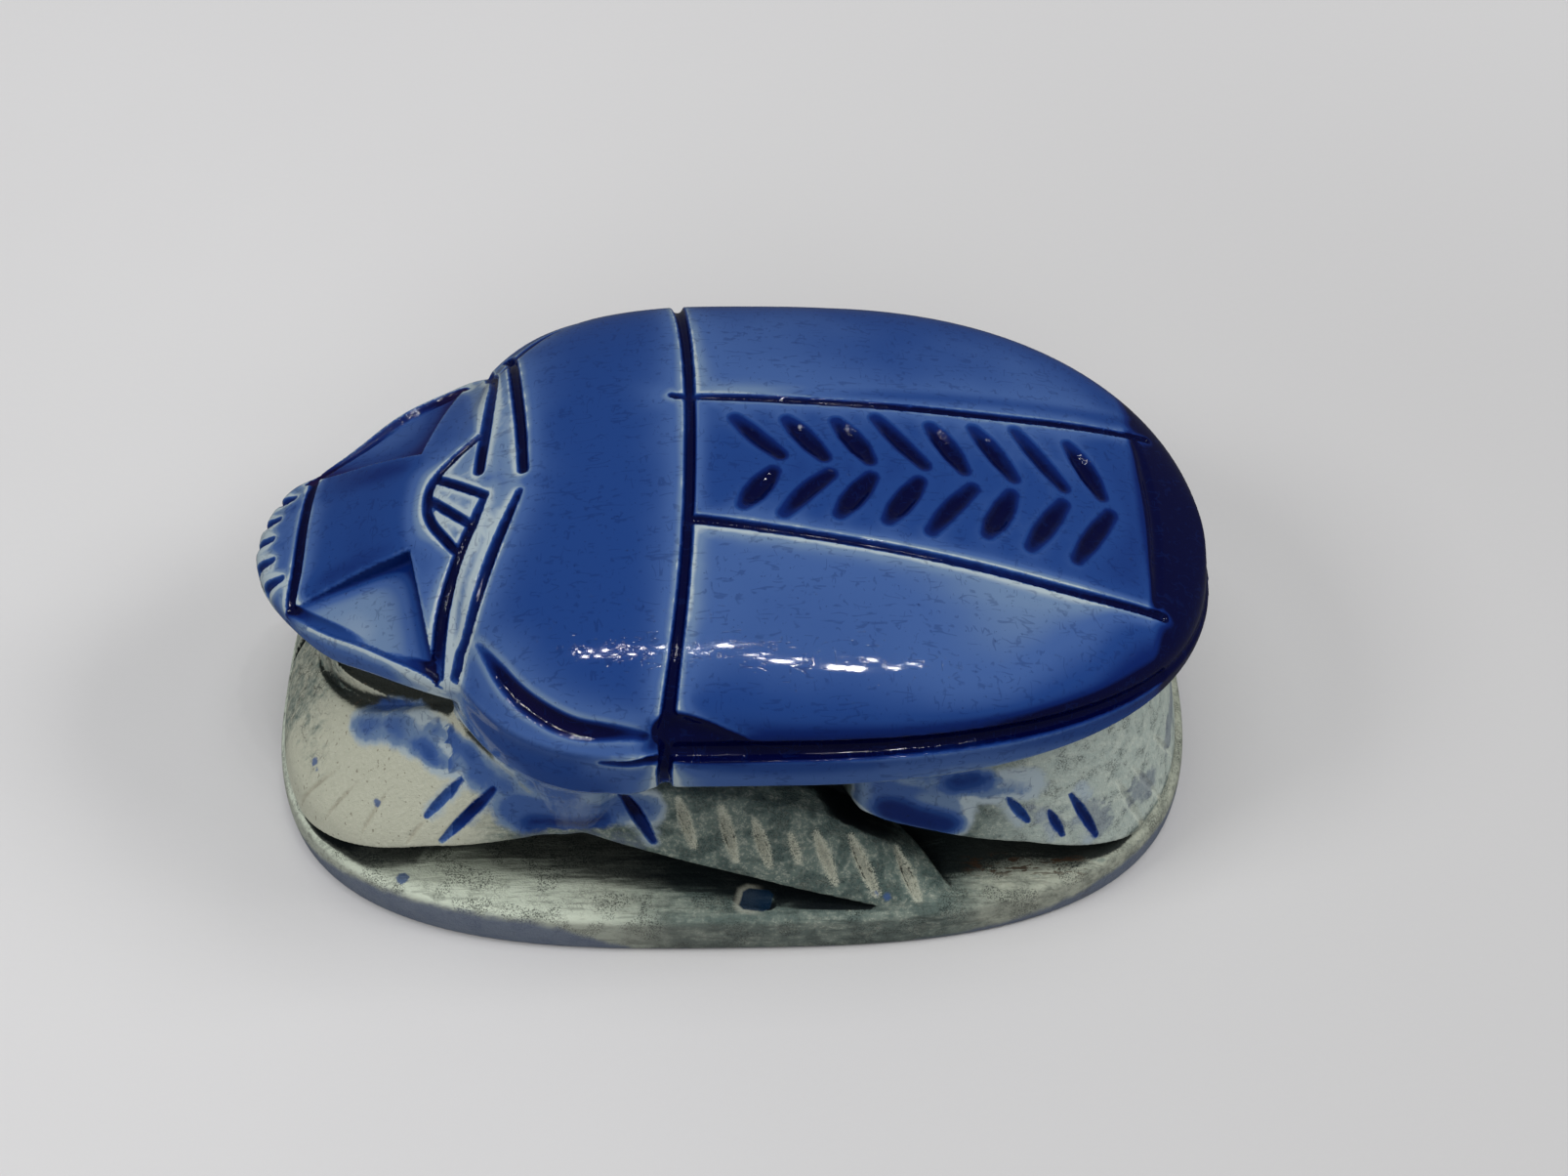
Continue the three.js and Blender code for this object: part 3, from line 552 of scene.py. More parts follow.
def carvedField(x, y, z):
    whole = plainField(x, y, z)
    whole = blendMax(whole, -cheekField(x, y, z), 0.2)
    points = np.stack([x, y, z], 1)
    for cut in cuts:
        near, gap = toolDistance(points, cut, 0.5)
        if len(near):
            whole[near] = blendMax(whole[near], -gap, cut["soft"])
    return whole


meshing = {
    "cell": 0.3, "block": 3, "reach": 2.6, "triangles": 180000, "chunk": 400000,
    "lowest": (-46.2, -31.6, -1.0), "highest": (46.2, 31.6, 36.4), "endX": 45.3,
}


def buildSurface():
    # coarse blocks first, then every fine point of the blocks near the surface
    cell, block = meshing["cell"], meshing["block"]
    lowest = np.array(meshing["lowest"])
    blocks = np.ceil((np.array(meshing["highest"]) - lowest) / (cell * block)).astype(int)
    middles = [lowest[a] + cell * (block * np.arange(blocks[a]) + (block - 1) / 2) for a in range(3)]
    coarse = plainField(*[g.ravel() for g in np.meshgrid(*middles, indexing="ij")]).reshape(blocks)
    values = np.repeat(np.repeat(np.repeat(coarse, block, 0), block, 1), block, 2).astype(np.float32)
    near = np.nonzero((np.abs(values) < meshing["reach"] + cell * block).ravel())[0]
    index = np.stack(np.unravel_index(near, values.shape), 1)
    flat = values.ravel()
    for start in range(0, len(near), meshing["chunk"]):
        part = slice(start, start + meshing["chunk"])
        places = lowest + cell * index[part]
        found = plainField(*places.T)
        carve = np.abs(found) < meshing["reach"]
        found[carve] = carvedField(*places[carve].T)
        flat[near[part]] = found
    values = np.clip(flat, -3 * cell, 3 * cell).reshape(values.shape)
    grid = openvdb.FloatGrid(3 * cell)
    grid.copyFromArray(np.ascontiguousarray(values, dtype=np.float32))
    places, quads = grid.convertToQuads(isovalue=0.0)
    return lowest + np.asarray(places, float) * cell, np.asarray(quads)


def asMesh(name, points, faces):
    mesh = bpy.data.meshes.new(name)
    mesh.from_pydata((points * mm).tolist(), [], faces.tolist())
    mesh.validate()
    return mesh


def thinOut(points, quads):
    # keeps the fine faces in and beside the cuts and lets flat places have larger ones
    rough = bpy.data.objects.new("rough", asMesh("rough", points / mm, quads))
    bpy.context.collection.objects.link(rough)
    less = rough.modifiers.new("less", "DECIMATE")
    less.ratio = min(1.0, meshing["triangles"] / (2 * len(quads)))
    less.use_collapse_triangulate = True
    mesh = rough.evaluated_get(bpy.context.evaluated_depsgraph_get()).to_mesh()
    places = np.empty(len(mesh.vertices) * 3, np.float32)
    mesh.vertices.foreach_get("co", places)
    mesh.calc_loop_triangles()
    faces = np.empty(len(mesh.loop_triangles) * 3, np.int32)
    mesh.loop_triangles.foreach_get("vertices", faces)
    bpy.data.objects.remove(rough)
    return places.reshape(-1, 3).astype(float), faces.reshape(-1, 3)


points, quads = buildSurface()
print("raw surface:", len(points), "points,", len(quads), "quads")
points, faces = thinOut(points, quads)
points = settle(carvedField, points, 3)
points[:, 2] = np.clip(points[:, 2], 0, None)
points[:, 0] = np.clip(points[:, 0], -meshing["endX"], meshing["endX"])
normals = slopeOf(carvedField, points, 0.05)
normals /= np.maximum(np.linalg.norm(normals, axis=1), 1e-6)[:, None]


def nearCuts(points, kinds, reach, bare=None):
    # signed distance to the nearest cut of these kinds, no more than the reach
    best = np.full(len(points), float(reach))
    for cut in cuts:
        if cut["kind"] in kinds and (bare is None or cut["bare"] == bare):
            near, gap = toolDistance(points, cut, reach)
            if len(near):
                best[near] = np.minimum(best[near], gap)
    return best


def bend(points, normals, faces, rounds):
    # mean bend of the surface, positive on ridges; more rounds give a broader measure
    a = np.concatenate([faces[:, 0], faces[:, 1], faces[:, 2]])
    b = np.concatenate([faces[:, 1], faces[:, 2], faces[:, 0]])
    step = points[b] - points[a]
    turn = ((normals[b] - normals[a]) * step).sum(1) / np.maximum((step ** 2).sum(1), 1e-4)
    count = np.bincount(a, minlength=len(points)) + np.bincount(b, minlength=len(points))
    count = np.maximum(count, 1)
    value = (np.bincount(a, turn, len(points)) + np.bincount(b, turn, len(points))) / count
    for _ in range(rounds):
        spread = np.bincount(a, value[b], len(points)) + np.bincount(b, value[a], len(points))
        value = 0.4 * value + 0.6 * spread / count
    return value


def openness(points, normals):
    # one in the open, less where other parts of the carving stand close
    dark = 0
    for step, weight in ((1.2, 0.45), (3.0, 0.35), (7.0, 0.2)):
        away = points + normals * step
        gap = plainField(*away.T)
        dark = dark + weight * np.clip((step - gap) / step, 0, 1)
    return np.clip(1 - dark, 0, 1)


def cheekSides():
    # each side of a cheek in plan: a point on it and the way into the cheek
    corners = [np.array(c[:2]) for c in cheek["corners"]]
    sides = []
    for k in range(3):
        a, b, c = corners[k], corners[(k + 1) % 3], corners[(k + 2) % 3]
        inward = np.array([a[1] - b[1], b[0] - a[0]])
        sides.append((a, inward * np.sign(inward @ (c - a)) / np.linalg.norm(inward)))
    return sides


def insideCheek(points):
    inside = np.ones(len(points))
    for (start, inward), slack in zip(cheekSides(), (0.3, 0.3, 1.2)):
        depth = (points[:, 0] - start[0]) * inward[0] + (np.abs(points[:, 1]) - start[1]) * inward[1]
        inside *= depth > -slack
    below = smoothStep(0.06, 0.3, topHeight(points[:, 0], points[:, 1]) - points[:, 2])
    return inside * below * (points[:, 2] > headRim(points[:, 0]) - 1.5)


# Glaze that ran off the back over the leg roots, as round-ended dabs: from, to, radius.
glazeDabs = [
    ((-33.4, 15.2, 15.4), (-31.0, 16.0, 16.6), 2.3), ((-30.5, 16.8, 17.6), (-26.0, 19.5, 17.6), 2.4),
    ((-25.5, 20.5, 17.8), (-20.2, 23.2, 16.9), 2.3), ((-19.0, 24.3, 14.8), (-12.5, 25.2, 15.2), 2.9),
    ((-12.5, 25.2, 16.0), (-8.2, 25.8, 15.2), 2.5), ((-29.0, 18.8, 17.6), (-26.4, 20.8, 17.0), 1.4),
    ((-27.4, 23.7, 13.2), (-25.0, 22.6, 15.6), 0.8), ((-25.8, 24.7, 11.0), (-21.2, 23.6, 16.4), 0.7),
    ((-7.3, 26.2, 11.2), (-9.9, 24.8, 17.0), 0.8), ((12.5, 24.3, 16.5), (18.5, 24.9, 14.0), 3.7),
    ((13.2, 24.0, 21.0), (18.5, 24.6, 20.0), 2.6), ((19.0, 24.6, 17.4), (26.5, 23.6, 16.8), 2.1),
    ((26.2, 24.8, 12.3), (24.4, 24.5, 15.8), 0.75), ((29.5, 24.4, 9.5), (27.7, 24.0, 13.5), 0.75),
    ((32.8, 23.6, 7.9), (29.5, 22.9, 14.7), 0.8), ((31.6, 22.7, 14.6), (32.4, 22.6, 13.6), 0.9),
]
# Places where the glaze ran together and lies thick, and ridges where it ran thin.
poolDabs = [
    ((-17.6, 24.8, 12.4), (-12.0, 25.7, 12.7), 1.5), ((-26.6, 18.4, 19.6), (-23.5, 20.6, 18.4), 0.6),
    ((-28.2, 19.6, 17.2), (-26.2, 21.0, 16.8), 0.8), ((14.5, 24.9, 14.2), (19.0, 25.3, 12.6), 1.6),
    ((20.4, 24.4, 18.0), (22.8, 24.0, 18.3), 1.0), ((-5.2, 27.6, 27.9), (-2.8, 27.6, 27.6), 1.9),
    ((-2.8, 27.7, 27.2), (2.4, 28.0, 26.6), 1.0),
]
thinDabs = [
    ((17.6, 24.9, 15.6), (25.6, 24.8, 13.4), 0.7), ((-24.5, 20.0, 22.6), (-18.5, 24.6, 21.6), 1.5),
    ((-12.0, 26.4, 18.4), (-9.0, 26.4, 17.4), 0.7), ((11.4, 24.0, 21.5), (12.0, 24.2, 13.5), 0.6),
    ((24.6, 23.8, 17.8), (27.4, 23.6, 17.0), 0.9),
]
# Small drops of glaze on the front leg and the slab: place and radius.
drops = [
    ((-39.4, 15.8, 10.7), 0.42), ((-38.9, 16.5, 10.4), 0.3), ((-32.6, 21.8, 12.2), 0.42),
    ((-31.0, 25.0, 4.6), 0.6), ((-36.6, 20.4, 9.6), 0.22), ((14.2, 28.4, 5.6), 0.5), ((13.2, 28.3, 5.8), 0.35),
]
# A thin blue wash on parts of the legs; the slab's own wash reaches these heights along its side.
washDabs = [
    ((37.0, 19.6, 9.8), (39.5, 18.2, 9.0), 1.6), ((42.0, 13.0, 10.0), (43.4, 8.0, 10.6), 2.0),
    ((32.6, 23.4, 11.6), (34.2, 23.2, 9.4), 1.6), ((-18.5, 25.0, 11.4), (-9.0, 26.6, 10.8), 1.1),
    ((27.5, 24.2, 13.6), (29.5, 24.2, 11.4), 1.0),
]
slabWash = {"x": [-46, -42, -38, -34, -28, -20, -16, -12.5, -9, 14, 22, 30, 38, 46],
            "reach": [0.4, 1.4, 2.8, 3.6, 3.9, 3.8, 3.2, 1.6, 0.0, 0.0, 0.6, 1.5, 2.6, 2.6]}
chip = {"x": 2.1, "y": -28.0, "halfLength": 1.45, "halfWidth": 1.2, "slant": (0.25, 0.15), "bluntness": 1.65}


def dabCover(points, dabs):
    best = np.full(len(points), -6.0)
    for a, b, radius in dabs:
        for side in (-1, 1):
            a1, b1 = np.array(a) * (1, side, 1), np.array(b) * (1, side, 1)
            span = b1 - a1
            t = np.clip(((points - a1) @ span) / max(span @ span, 1e-9), 0, 1)
            best = np.maximum(best, radius - np.linalg.norm(points - a1 - t[:, None] * span, axis=1))
    return best


def washCover(points):
    x, z = points[:, 0], points[:, 2]
    side = np.where(z < 4.3, np.interp(x, slabWash["x"], slabWash["reach"]) - z, -6)
    return np.maximum(dabCover(points, washDabs), side)


def upperCover(points):
    # the back, the hem and the head are glazed all over, and the glaze stops just under them
    x, y, z = points.T
    upper = blendMin(backField(x, y, z), headField(x, y, z), 0.4)
    cover = 4 * (0.55 - upper)
    below = np.where(x < -14, (z - headRim(x) + head["rimThickness"] + 1.6) * 1.6, (z - hem["bottom"] + 0.9) * 1.6)
    rootWall = smoothStep(-26.5, -23.5, x) * smoothStep(-5, -9, x)
    return np.minimum(cover, below + 14 * rootWall)


intoHead = np.clip(headOutline(points[:, 0], points[:, 1]), -5, 1)
measures = {
    "groove": nearCuts(points, ("line", "notch", "flank"), 7.0),
    "flank": nearCuts(points, ("flank",), 3.0),
    "strokes": nearCuts(points, ("stroke", "soft"), 4.0),
    "nicks": nearCuts(points, ("nick",), 3.0, 0),
    "bars": nearCuts(points, ("nick",), 3.0, 1),
    "creases": nearCuts(points, ("crease",), 3.0),
    "hem": nearCuts(points, ("hem",), 8.0),
    "notches": nearCuts(points, ("notch",), 3.0),
    "hollows": nearCuts(points, ("hollow",), 3.0),
    "overHem": np.clip(points[:, 2] - springingHeight(points[:, 0]), -5, 8),
    "rimBand": np.where(points[:, 0] < -25.5, intoHead, -5),
    "inCheek": insideCheek(points),
    "thinned": dabCover(points, thinDabs),
    "depth": np.clip(-plainField(*points.T), 0, 3),
    "pools": dabCover(points, poolDabs),
    "bend": bend(points, normals, faces, 1),
    "broadBend": bend(points, normals, faces, 9),
    "steep": 1 - slopeOf(plainField, points, 0.3)[:, 2],
    "openness": openness(points, normals),
    "glaze": np.maximum(upperCover(points), dabCover(points, glazeDabs)),
    "wash": washCover(points),
}
print("surface measured")


mesh = asMesh("scarabCarving", points, faces)
volume = (points[faces[:, 0]] * np.cross(points[faces[:, 1]], points[faces[:, 2]])).sum() / 6
if volume < 0:
    mesh.flip_normals()
mesh.polygons.foreach_set("use_smooth", [True] * len(mesh.polygons))
mesh.normals_split_custom_set_from_vertices(normals.tolist())
for name, values in measures.items():
    layer = mesh.attributes.new(name, "FLOAT", "POINT")
    layer.data.foreach_set("value", values.astype(np.float32))
mesh.update()
scarab = bpy.data.objects.new("scarabCarving", mesh)
bpy.context.collection.objects.link(scarab)
print("carving:", len(mesh.vertices), "points,", len(mesh.polygons), "triangles, cubic mm:", round(abs(volume)))


class Socket:
    # wraps a shader output so that sums and products of values can be written plainly
    def __init__(self, shader, out):
        self.shader, self.out = shader, out

    def math(self, operation, *values, clamp=False):
        return self.shader.node("ShaderNodeMath", {"operation": operation, "use_clamp": clamp}, list(values))

    def __add__(self, other):
        return self.math("ADD", self, other)

    def __sub__(self, other):
        return self.math("SUBTRACT", self, other)

    def __mul__(self, other):
        return self.math("MULTIPLY", self, other)

    def __truediv__(self, other):
        return self.math("DIVIDE", self, other)

    def __rsub__(self, other):
        return self.math("SUBTRACT", other, self)

    def __rtruediv__(self, other):
        return self.math("DIVIDE", other, self)

    def __neg__(self):
        return self.math("MULTIPLY", self, -1.0)

    def __pow__(self, other):
        return self.math("POWER", self.most(0.0), other)

    def most(self, other):
        return self.math("MAXIMUM", self, other)

    def size(self):
        return self.math("ABSOLUTE", self)

    def fading(self, reach):
        # one at nought and below, falling off smoothly over the reach
        return self.math("EXPONENT", self.most(0.0) * (-1 / reach))

    def sister(self, name):
        # another output of the same node
        return Socket(self.shader, self.out.node.outputs[name])

    def clamped(self):
        return self.math("ADD", self, 0.0, clamp=True)

    def ramp(self, fromValue, toValue, a=0.0, b=1.0):
        return self.shader.node("ShaderNodeMapRange", {"interpolation_type": "SMOOTHSTEP"},
                                {"Value": self, "From Min": fromValue, "From Max": toValue, "To Min": a, "To Max": b})

    __radd__ = __add__
    __rmul__ = __mul__


class Shader:
    def __init__(self, owner):
        # the owner is a new material or the world
        owner.use_nodes = True
        self.tree = owner.node_tree
        self.tree.nodes.clear()

    def node(self, kind, settings=None, sockets=None, output=0):
        made = self.tree.nodes.new(kind)
        for key, value in (settings or {}).items():
            if key == "stops":
                ramp = made.color_ramp
                ramp.interpolation = "EASE"
                while len(ramp.elements) < len(value):
                    ramp.elements.new(1.0)
                for element, (place, colour) in zip(ramp.elements, value):
                    element.position = place
                    element.color = (*colour, 1.0)
            else:
                setattr(made, key, value)
        pairs = enumerate(sockets) if isinstance(sockets, list) else (sockets or {}).items()
        for key, value in pairs:
            if isinstance(value, Socket):
                self.tree.links.new(value.out, made.inputs[key])
            else:
                if isinstance(value, tuple) and len(value) == 3 and made.inputs[key].type == "RGBA":
                    value = (*value, 1.0)
                made.inputs[key].default_value = value
        return Socket(self, made.outputs[output]) if len(made.outputs) else None

    def attribute(self, name):
        return self.node("ShaderNodeAttribute", {"attribute_name": name}, output="Fac")

    def mix(self, share, a, b):
        # from one colour to another
        made = {"data_type": "RGBA", "clamp_factor": True}
        return self.node("ShaderNodeMix", made, {0: share, 6: a, 7: b}, output=2)

    def blend(self, share, a, b):
        # from one value to another
        return a + (b - a) * share

    def bent(self, place, scale, amount):
        # the same place, pushed about a little
        push = self.node("ShaderNodeTexNoise", {}, {"Vector": place, "Scale": scale, "Detail": 2.0}, output="Color")
        push = self.node("ShaderNodeVectorMath", {"operation": "SCALE"}, {0: push, "Scale": amount})
        return self.node("ShaderNodeVectorMath", {"operation": "ADD"}, {0: place, 1: push})

    def noise(self, place, scale, detail=2.0, roughness=0.5, stretch=None):
        if stretch:
            place = self.node("ShaderNodeVectorMath", {"operation": "MULTIPLY"}, {0: place, 1: stretch})
        return self.node("ShaderNodeTexNoise", {}, {"Vector": place, "Scale": scale, "Detail": detail,
                                                    "Roughness": roughness}, output="Fac")


glazeLook = {
    "deep": (0.0006, 0.0014, 0.026), "dark": (0.0025, 0.014, 0.105), "body": (0.012, 0.045, 0.19),
    "soft": (0.045, 0.098, 0.272), "thin": (0.12, 0.19, 0.32), "bare": (0.34, 0.41, 0.45),
    "crease": (0.014, 0.010, 0.010), "violetPoolShade": (0.022, 0.009, 0.045), "paintedSheen": (0.040, 0.020, 0.055),
    "crack": (0.002, 0.010, 0.07), "speck": (0.001, 0.004, 0.04),
    "stops": {"bare": 0.0, "thin": 0.14, "soft": 0.32, "body": 0.54, "dark": 0.78, "deep": 1.0},
    "roughness": 0.055, "ior": 1.42,
}
# How thick the glaze lies, from nought for a bare ridge to one for a deep pool, and what each place adds; the entries
# with Shade in their names are painted shade, the cheek's one partly pooled glaze.
glazeDepth = {
    "plain": 0.545, "drift": 0.22, "clouds": 0.07, "plate": 0.21, "collar": -0.20, "palerFlank": -0.11,
    "besideCut": 0.26, "nearCut": 0.21, "besideStroke": -0.17, "farWing": -0.11, "nearWing": -0.15,
    "panel": 0.10, "fineRidge": -0.16, "broadRidge": -0.08, "broadHollow": 0.10, "foreFlankShade": 0.12,
    "hindFlankShade": 0.34, "headRim": -0.24, "comb": -0.12, "snoutNotch": -0.10, "aboveHem": 0.34,
    "hemEdge": -0.18, "hemStart": -0.5, "legs": -0.225, "thinDab": -0.17, "nearCheek": 0.10,
    "farCheek": 0.36, "cheekClouds": 0.12, "cheekPoolAndShade": 0.70, "shallowCut": 0.22, "deepCut": 0.45,
    "hemGroove": 0.45, "stroke": 0.40, "nick": 0.62, "pool": 0.42, "farLowShade": 0.12, "nearLowShade": 0.30,
    "tail": 0.5, "tailFlankShade": 0.32, "tailHem": 0.22, "ragged": -0.24,
}
stoneLook = {
    "cream": (0.455, 0.465, 0.37), "pale": (0.56, 0.57, 0.47), "green": (0.120, 0.162, 0.143),
    "teal": (0.030, 0.062, 0.062), "grimeAndShade": (0.010, 0.015, 0.015), "rust": (0.050, 0.028, 0.016),
    "wash": (0.098, 0.126, 0.205), "drop": (0.045, 0.095, 0.24), "ledge": (0.64, 0.71, 0.59),
    "worn": (0.085, 0.125, 0.115), "hind": (0.50, 0.58, 0.54), "undercutShadow": (0.002, 0.004, 0.006),
    "slabSideTanAndShade": (0.115, 0.112, 0.098), "pit": (0.11, 0.085, 0.055), "nickLine": (0.20, 0.14, 0.085),
    "chip": (0.006, 0.022, 0.050), "roughness": 0.62,
}
# How strongly each colour covers the stone.
stoneShare = {
    "pale": 0.45, "teal": 0.55, "farLedge": 0.12, "foreLedge": 0.85, "wornHind": 0.45, "wornFore": 0.85,
    "hind": 0.60, "grimeAndShade": 0.94, "undercutShadow": 0.88, "scored": 0.30, "pocked": 0.70, "split": 0.7,
    "mottle": 0.62, "hindSideTanAndShade": 0.18, "foreSideTanAndShade": 0.48, "pit": 0.55, "slabWash": 0.82, "legWash": 0.5,
    "rust": 0.9, "nickLine": 0.75, "chipRim": 0.45, "chip": 0.95, "drop": 0.85,
}


def glazedSoapstone():
    material = bpy.data.materials.new("glazedSoapstone")
    s = Shader(material)
    coordinates = s.node("ShaderNodeTexCoord", output="Object")
    place = s.node("ShaderNodeVectorMath", {"operation": "SCALE"}, {0: coordinates, "Scale": 1 / mm})  # millimetres
    x = s.node("ShaderNodeSeparateXYZ", {}, {0: place})
    y, z = x.sister("Y"), x.sister("Z")
    side = y.size()
    groove, strokes, hemGap = s.attribute("groove"), s.attribute("strokes"), s.attribute("hem")
    nick, bar = s.attribute("nicks"), s.attribute("bars")
    fineBend, broadBend = s.attribute("bend"), s.attribute("broadBend")
    openSky, overHem = s.attribute("openness"), s.attribute("overHem")

    large = s.noise(place, 0.05, 0.0)
    clouds = s.noise(place, 0.17, 1.0)
    blotch = s.noise(place, 0.55, 3.0, 0.6)
    fine = s.noise(place, 2.6, 3.0, 0.6)
    grit = s.noise(place, 7.5, 2.0, 0.6)

    # where there is glaze, with slightly ragged edges
    cover = s.attribute("glaze") + (blotch - 0.5) * 1.5 + (fine - 0.5) * 0.25
    cover = cover.most((0.12 - nick) * 5)
    glazed = cover.ramp(-0.4, 0.4)
    edgeOfGlaze = cover.ramp(0.1, 1.5, 1.0, 0.0)

    # how thick the glaze lies: pooled in cuts, thin beside them and on ridges; the flank and far cheek terms below
    # are painted shade
    depth = s.attribute("depth")
    inCut = groove.ramp(0.02, 0.26, 1.0, 0.0)
    inHem = hemGap.ramp(0.0, 0.4, 1.0, 0.0)
    inStroke = strokes.ramp(-0.15, 0.5, 1.0, 0.0)
    inNick = nick.ramp(0.0, 0.3, 1.0, 0.0)
    inCrease = s.attribute("creases").ramp(0.0, 0.5, 1.0, 0.0)
    onHead = x.ramp(-21, -25)
    elytra = x.ramp(-3.6, -3.0)
    dome = overHem.ramp(-0.4, 0.4)
    halo = groove.fading(0.6) * glazeDepth["besideCut"] + groove.fading(2.6) * glazeDepth["nearCut"]
    halo = halo * (1 - inCut) * (1 - inHem) * (1 + onHead * 0.2)
    strokeHalo = strokes.fading(0.9) * (1 - inStroke)
    # painted shade: the flank mask darkens the glaze on the steep sides of the back, which face away from the light
    # above
    flank = s.attribute("steep").ramp(0.25, 0.8) * dome
    hemBand = overHem.ramp(0.2, -0.3) * overHem.ramp(-5.0, -4.6) * x.ramp(-12, -6)
    legGlaze = overHem.ramp(-4.4, -5.0) + (1 - dome) * x.ramp(-9, -13) * z.ramp(21.5, 19.5)
    comb = (((x + 25.0) / 2.8) ** 2 + ((y + 1.0).size() / 5.0) ** 2).ramp(1.3, 0.4)
    collar = x + side * 0.24
    panel = (side - x * 0.11 - 8.0).ramp(1.0, -0.8) * elytra
    d = glazeDepth
    thick = d["plain"] + (large - 0.5) * d["drift"] + (clouds - 0.5) * d["clouds"] + x.ramp(-28, -31) * d["plate"]
    thick = thick + collar.ramp(-22.6, -21.2) * collar.ramp(-17.8, -19.4) * d["collar"]
    thick = thick + x.ramp(12, 26) * x.ramp(37, 31) * y.ramp(-12, -15) * d["palerFlank"]
    thick = thick - halo + strokeHalo * d["besideStroke"] + panel * d["panel"]
    thick = thick + elytra * dome * (1 - panel) * y.ramp(4, -8, d["farWing"], d["nearWing"])
    thick = thick + fineBend.ramp(0.15, 1.3) * d["fineRidge"] + broadBend.ramp(0.10, 0.6) * d["broadRidge"]
    thick = thick + (-broadBend).ramp(0.05, 0.4) * d["broadHollow"]
    # painted shade on the steep flanks, stronger towards the tail
    thick = thick + flank * x.ramp(-8, 34, d["foreFlankShade"], d["hindFlankShade"])
    thick = thick + s.attribute("rimBand").ramp(-2.4, -1.2) * d["headRim"] + comb * d["comb"]
    thick = thick + s.attribute("notches").fading(0.8) * d["snoutNotch"]
    thick = thick + hemGap.fading(3.0) * dome * elytra * d["aboveHem"]
    thick = thick + hemBand * overHem.ramp(-1.0, -3.2, 0.0, d["hemEdge"])
    thick = thick + hemGap.fading(0.5) * dome * x.ramp(4, 1) * (1 - inHem) * elytra * d["hemStart"]
    thick = thick + legGlaze.clamped() * d["legs"] + s.attribute("thinned").ramp(-1.5, 0.4) * d["thinDab"]
    # glaze pooled at the foot of the cheek walls; on the far side the pool is widened as painted shade at the wall's
    # foot
    cheekPoolAndShade = 0.0
    for (start, inward), reach in zip(cheekSides(), (0.8, 1.2)):
        wall = (x - float(start[0])) * float(inward[0]) + (side - float(start[1])) * float(inward[1])
        cheekPoolAndShade = wall.fading(y.ramp(-0.5, 0.5, reach, 1.5)) + cheekPoolAndShade
    cheekFloor = y.ramp(-3, 3, d["nearCheek"], d["farCheek"]) + (clouds - 0.5) * d["cheekClouds"]
    cheekFloor = cheekFloor + cheekPoolAndShade.clamped() * d["cheekPoolAndShade"]
    thick = s.blend(s.attribute("inCheek").clamped(), thick, cheekFloor)
    thick = thick + inCut * depth.ramp(0.02, 0.4, d["shallowCut"], d["deepCut"]) + inHem * d["hemGroove"]
    thick = thick + inStroke * d["stroke"] + inNick * d["nick"] + s.attribute("pools").ramp(-1.2, 0.8) * d["pool"]
    # painted shade: the low flank towards the tail is darkened, more on the near side
    thick = thick + overHem.ramp(5.2, 0.5) * dome * x.ramp(14, 36) * y.ramp(4, -4, d["farLowShade"], d["nearLowShade"])
    # the tail term is the darker glaze of the tail; the tail flank term is more painted shade on its steep sides
    thick = thick + x.ramp(37.9, 39.8) * d["tail"] + flank * x.ramp(16, 36) * d["tailFlankShade"]
    thick = thick + hemBand * x.ramp(16, 34) * d["tailHem"] + edgeOfGlaze * d["ragged"]
    stops = [(share, glazeLook[name]) for name, share in glazeLook["stops"].items()]
    glazeColour = s.node("ShaderNodeValToRGB", {"stops": stops}, {"Fac": thick.clamped()})
    glazeColour = s.mix(inCrease * 0.85, glazeColour, glazeLook["crease"])
    # a violet tint along the far cheek's walls: partly pooled glaze, partly painted shade
    farPoolAndShade = cheekPoolAndShade * s.attribute("inCheek") * y.ramp(-1, 2)
    glazeColour = s.mix(farPoolAndShade.clamped() * 0.55, glazeColour, glazeLook["violetPoolShade"])
    # painted reflection: a purple-brown sheen in the flank grooves of the pronotum
    paintedSheen = s.attribute("flank").ramp(0.1, -0.35) * clouds.ramp(0.35, 0.6)
    glazeColour = s.mix(paintedSheen * 0.55, glazeColour, glazeLook["paintedSheen"])

    # fine cracks in the glaze, short and mostly along the body
    along = (s.noise(place, 1.0, 1.0, 0.5, (0.30, 1.25, 1.25)) - 0.5).size().ramp(0.008, 0.05, 1.0, 0.0)
    across = (s.noise(place, 1.0, 1.0, 0.5, (1.3, 0.4, 0.4)) - 0.5).size().ramp(0.008, 0.04, 1.0, 0.0)
    crack = along * s.noise(place, 0.8, 2.0).ramp(0.50, 0.58) + across * s.noise(place, 0.9, 1.0).ramp(0.57, 0.62)
    crack = crack.clamped()
    specks = s.noise(place, 3.2, 1.0).ramp(0.72, 0.77)
    glazeColour = s.mix(crack * 0.30, glazeColour, glazeLook["crack"])
    glazeColour = s.mix(specks * 0.40, glazeColour, glazeLook["speck"])

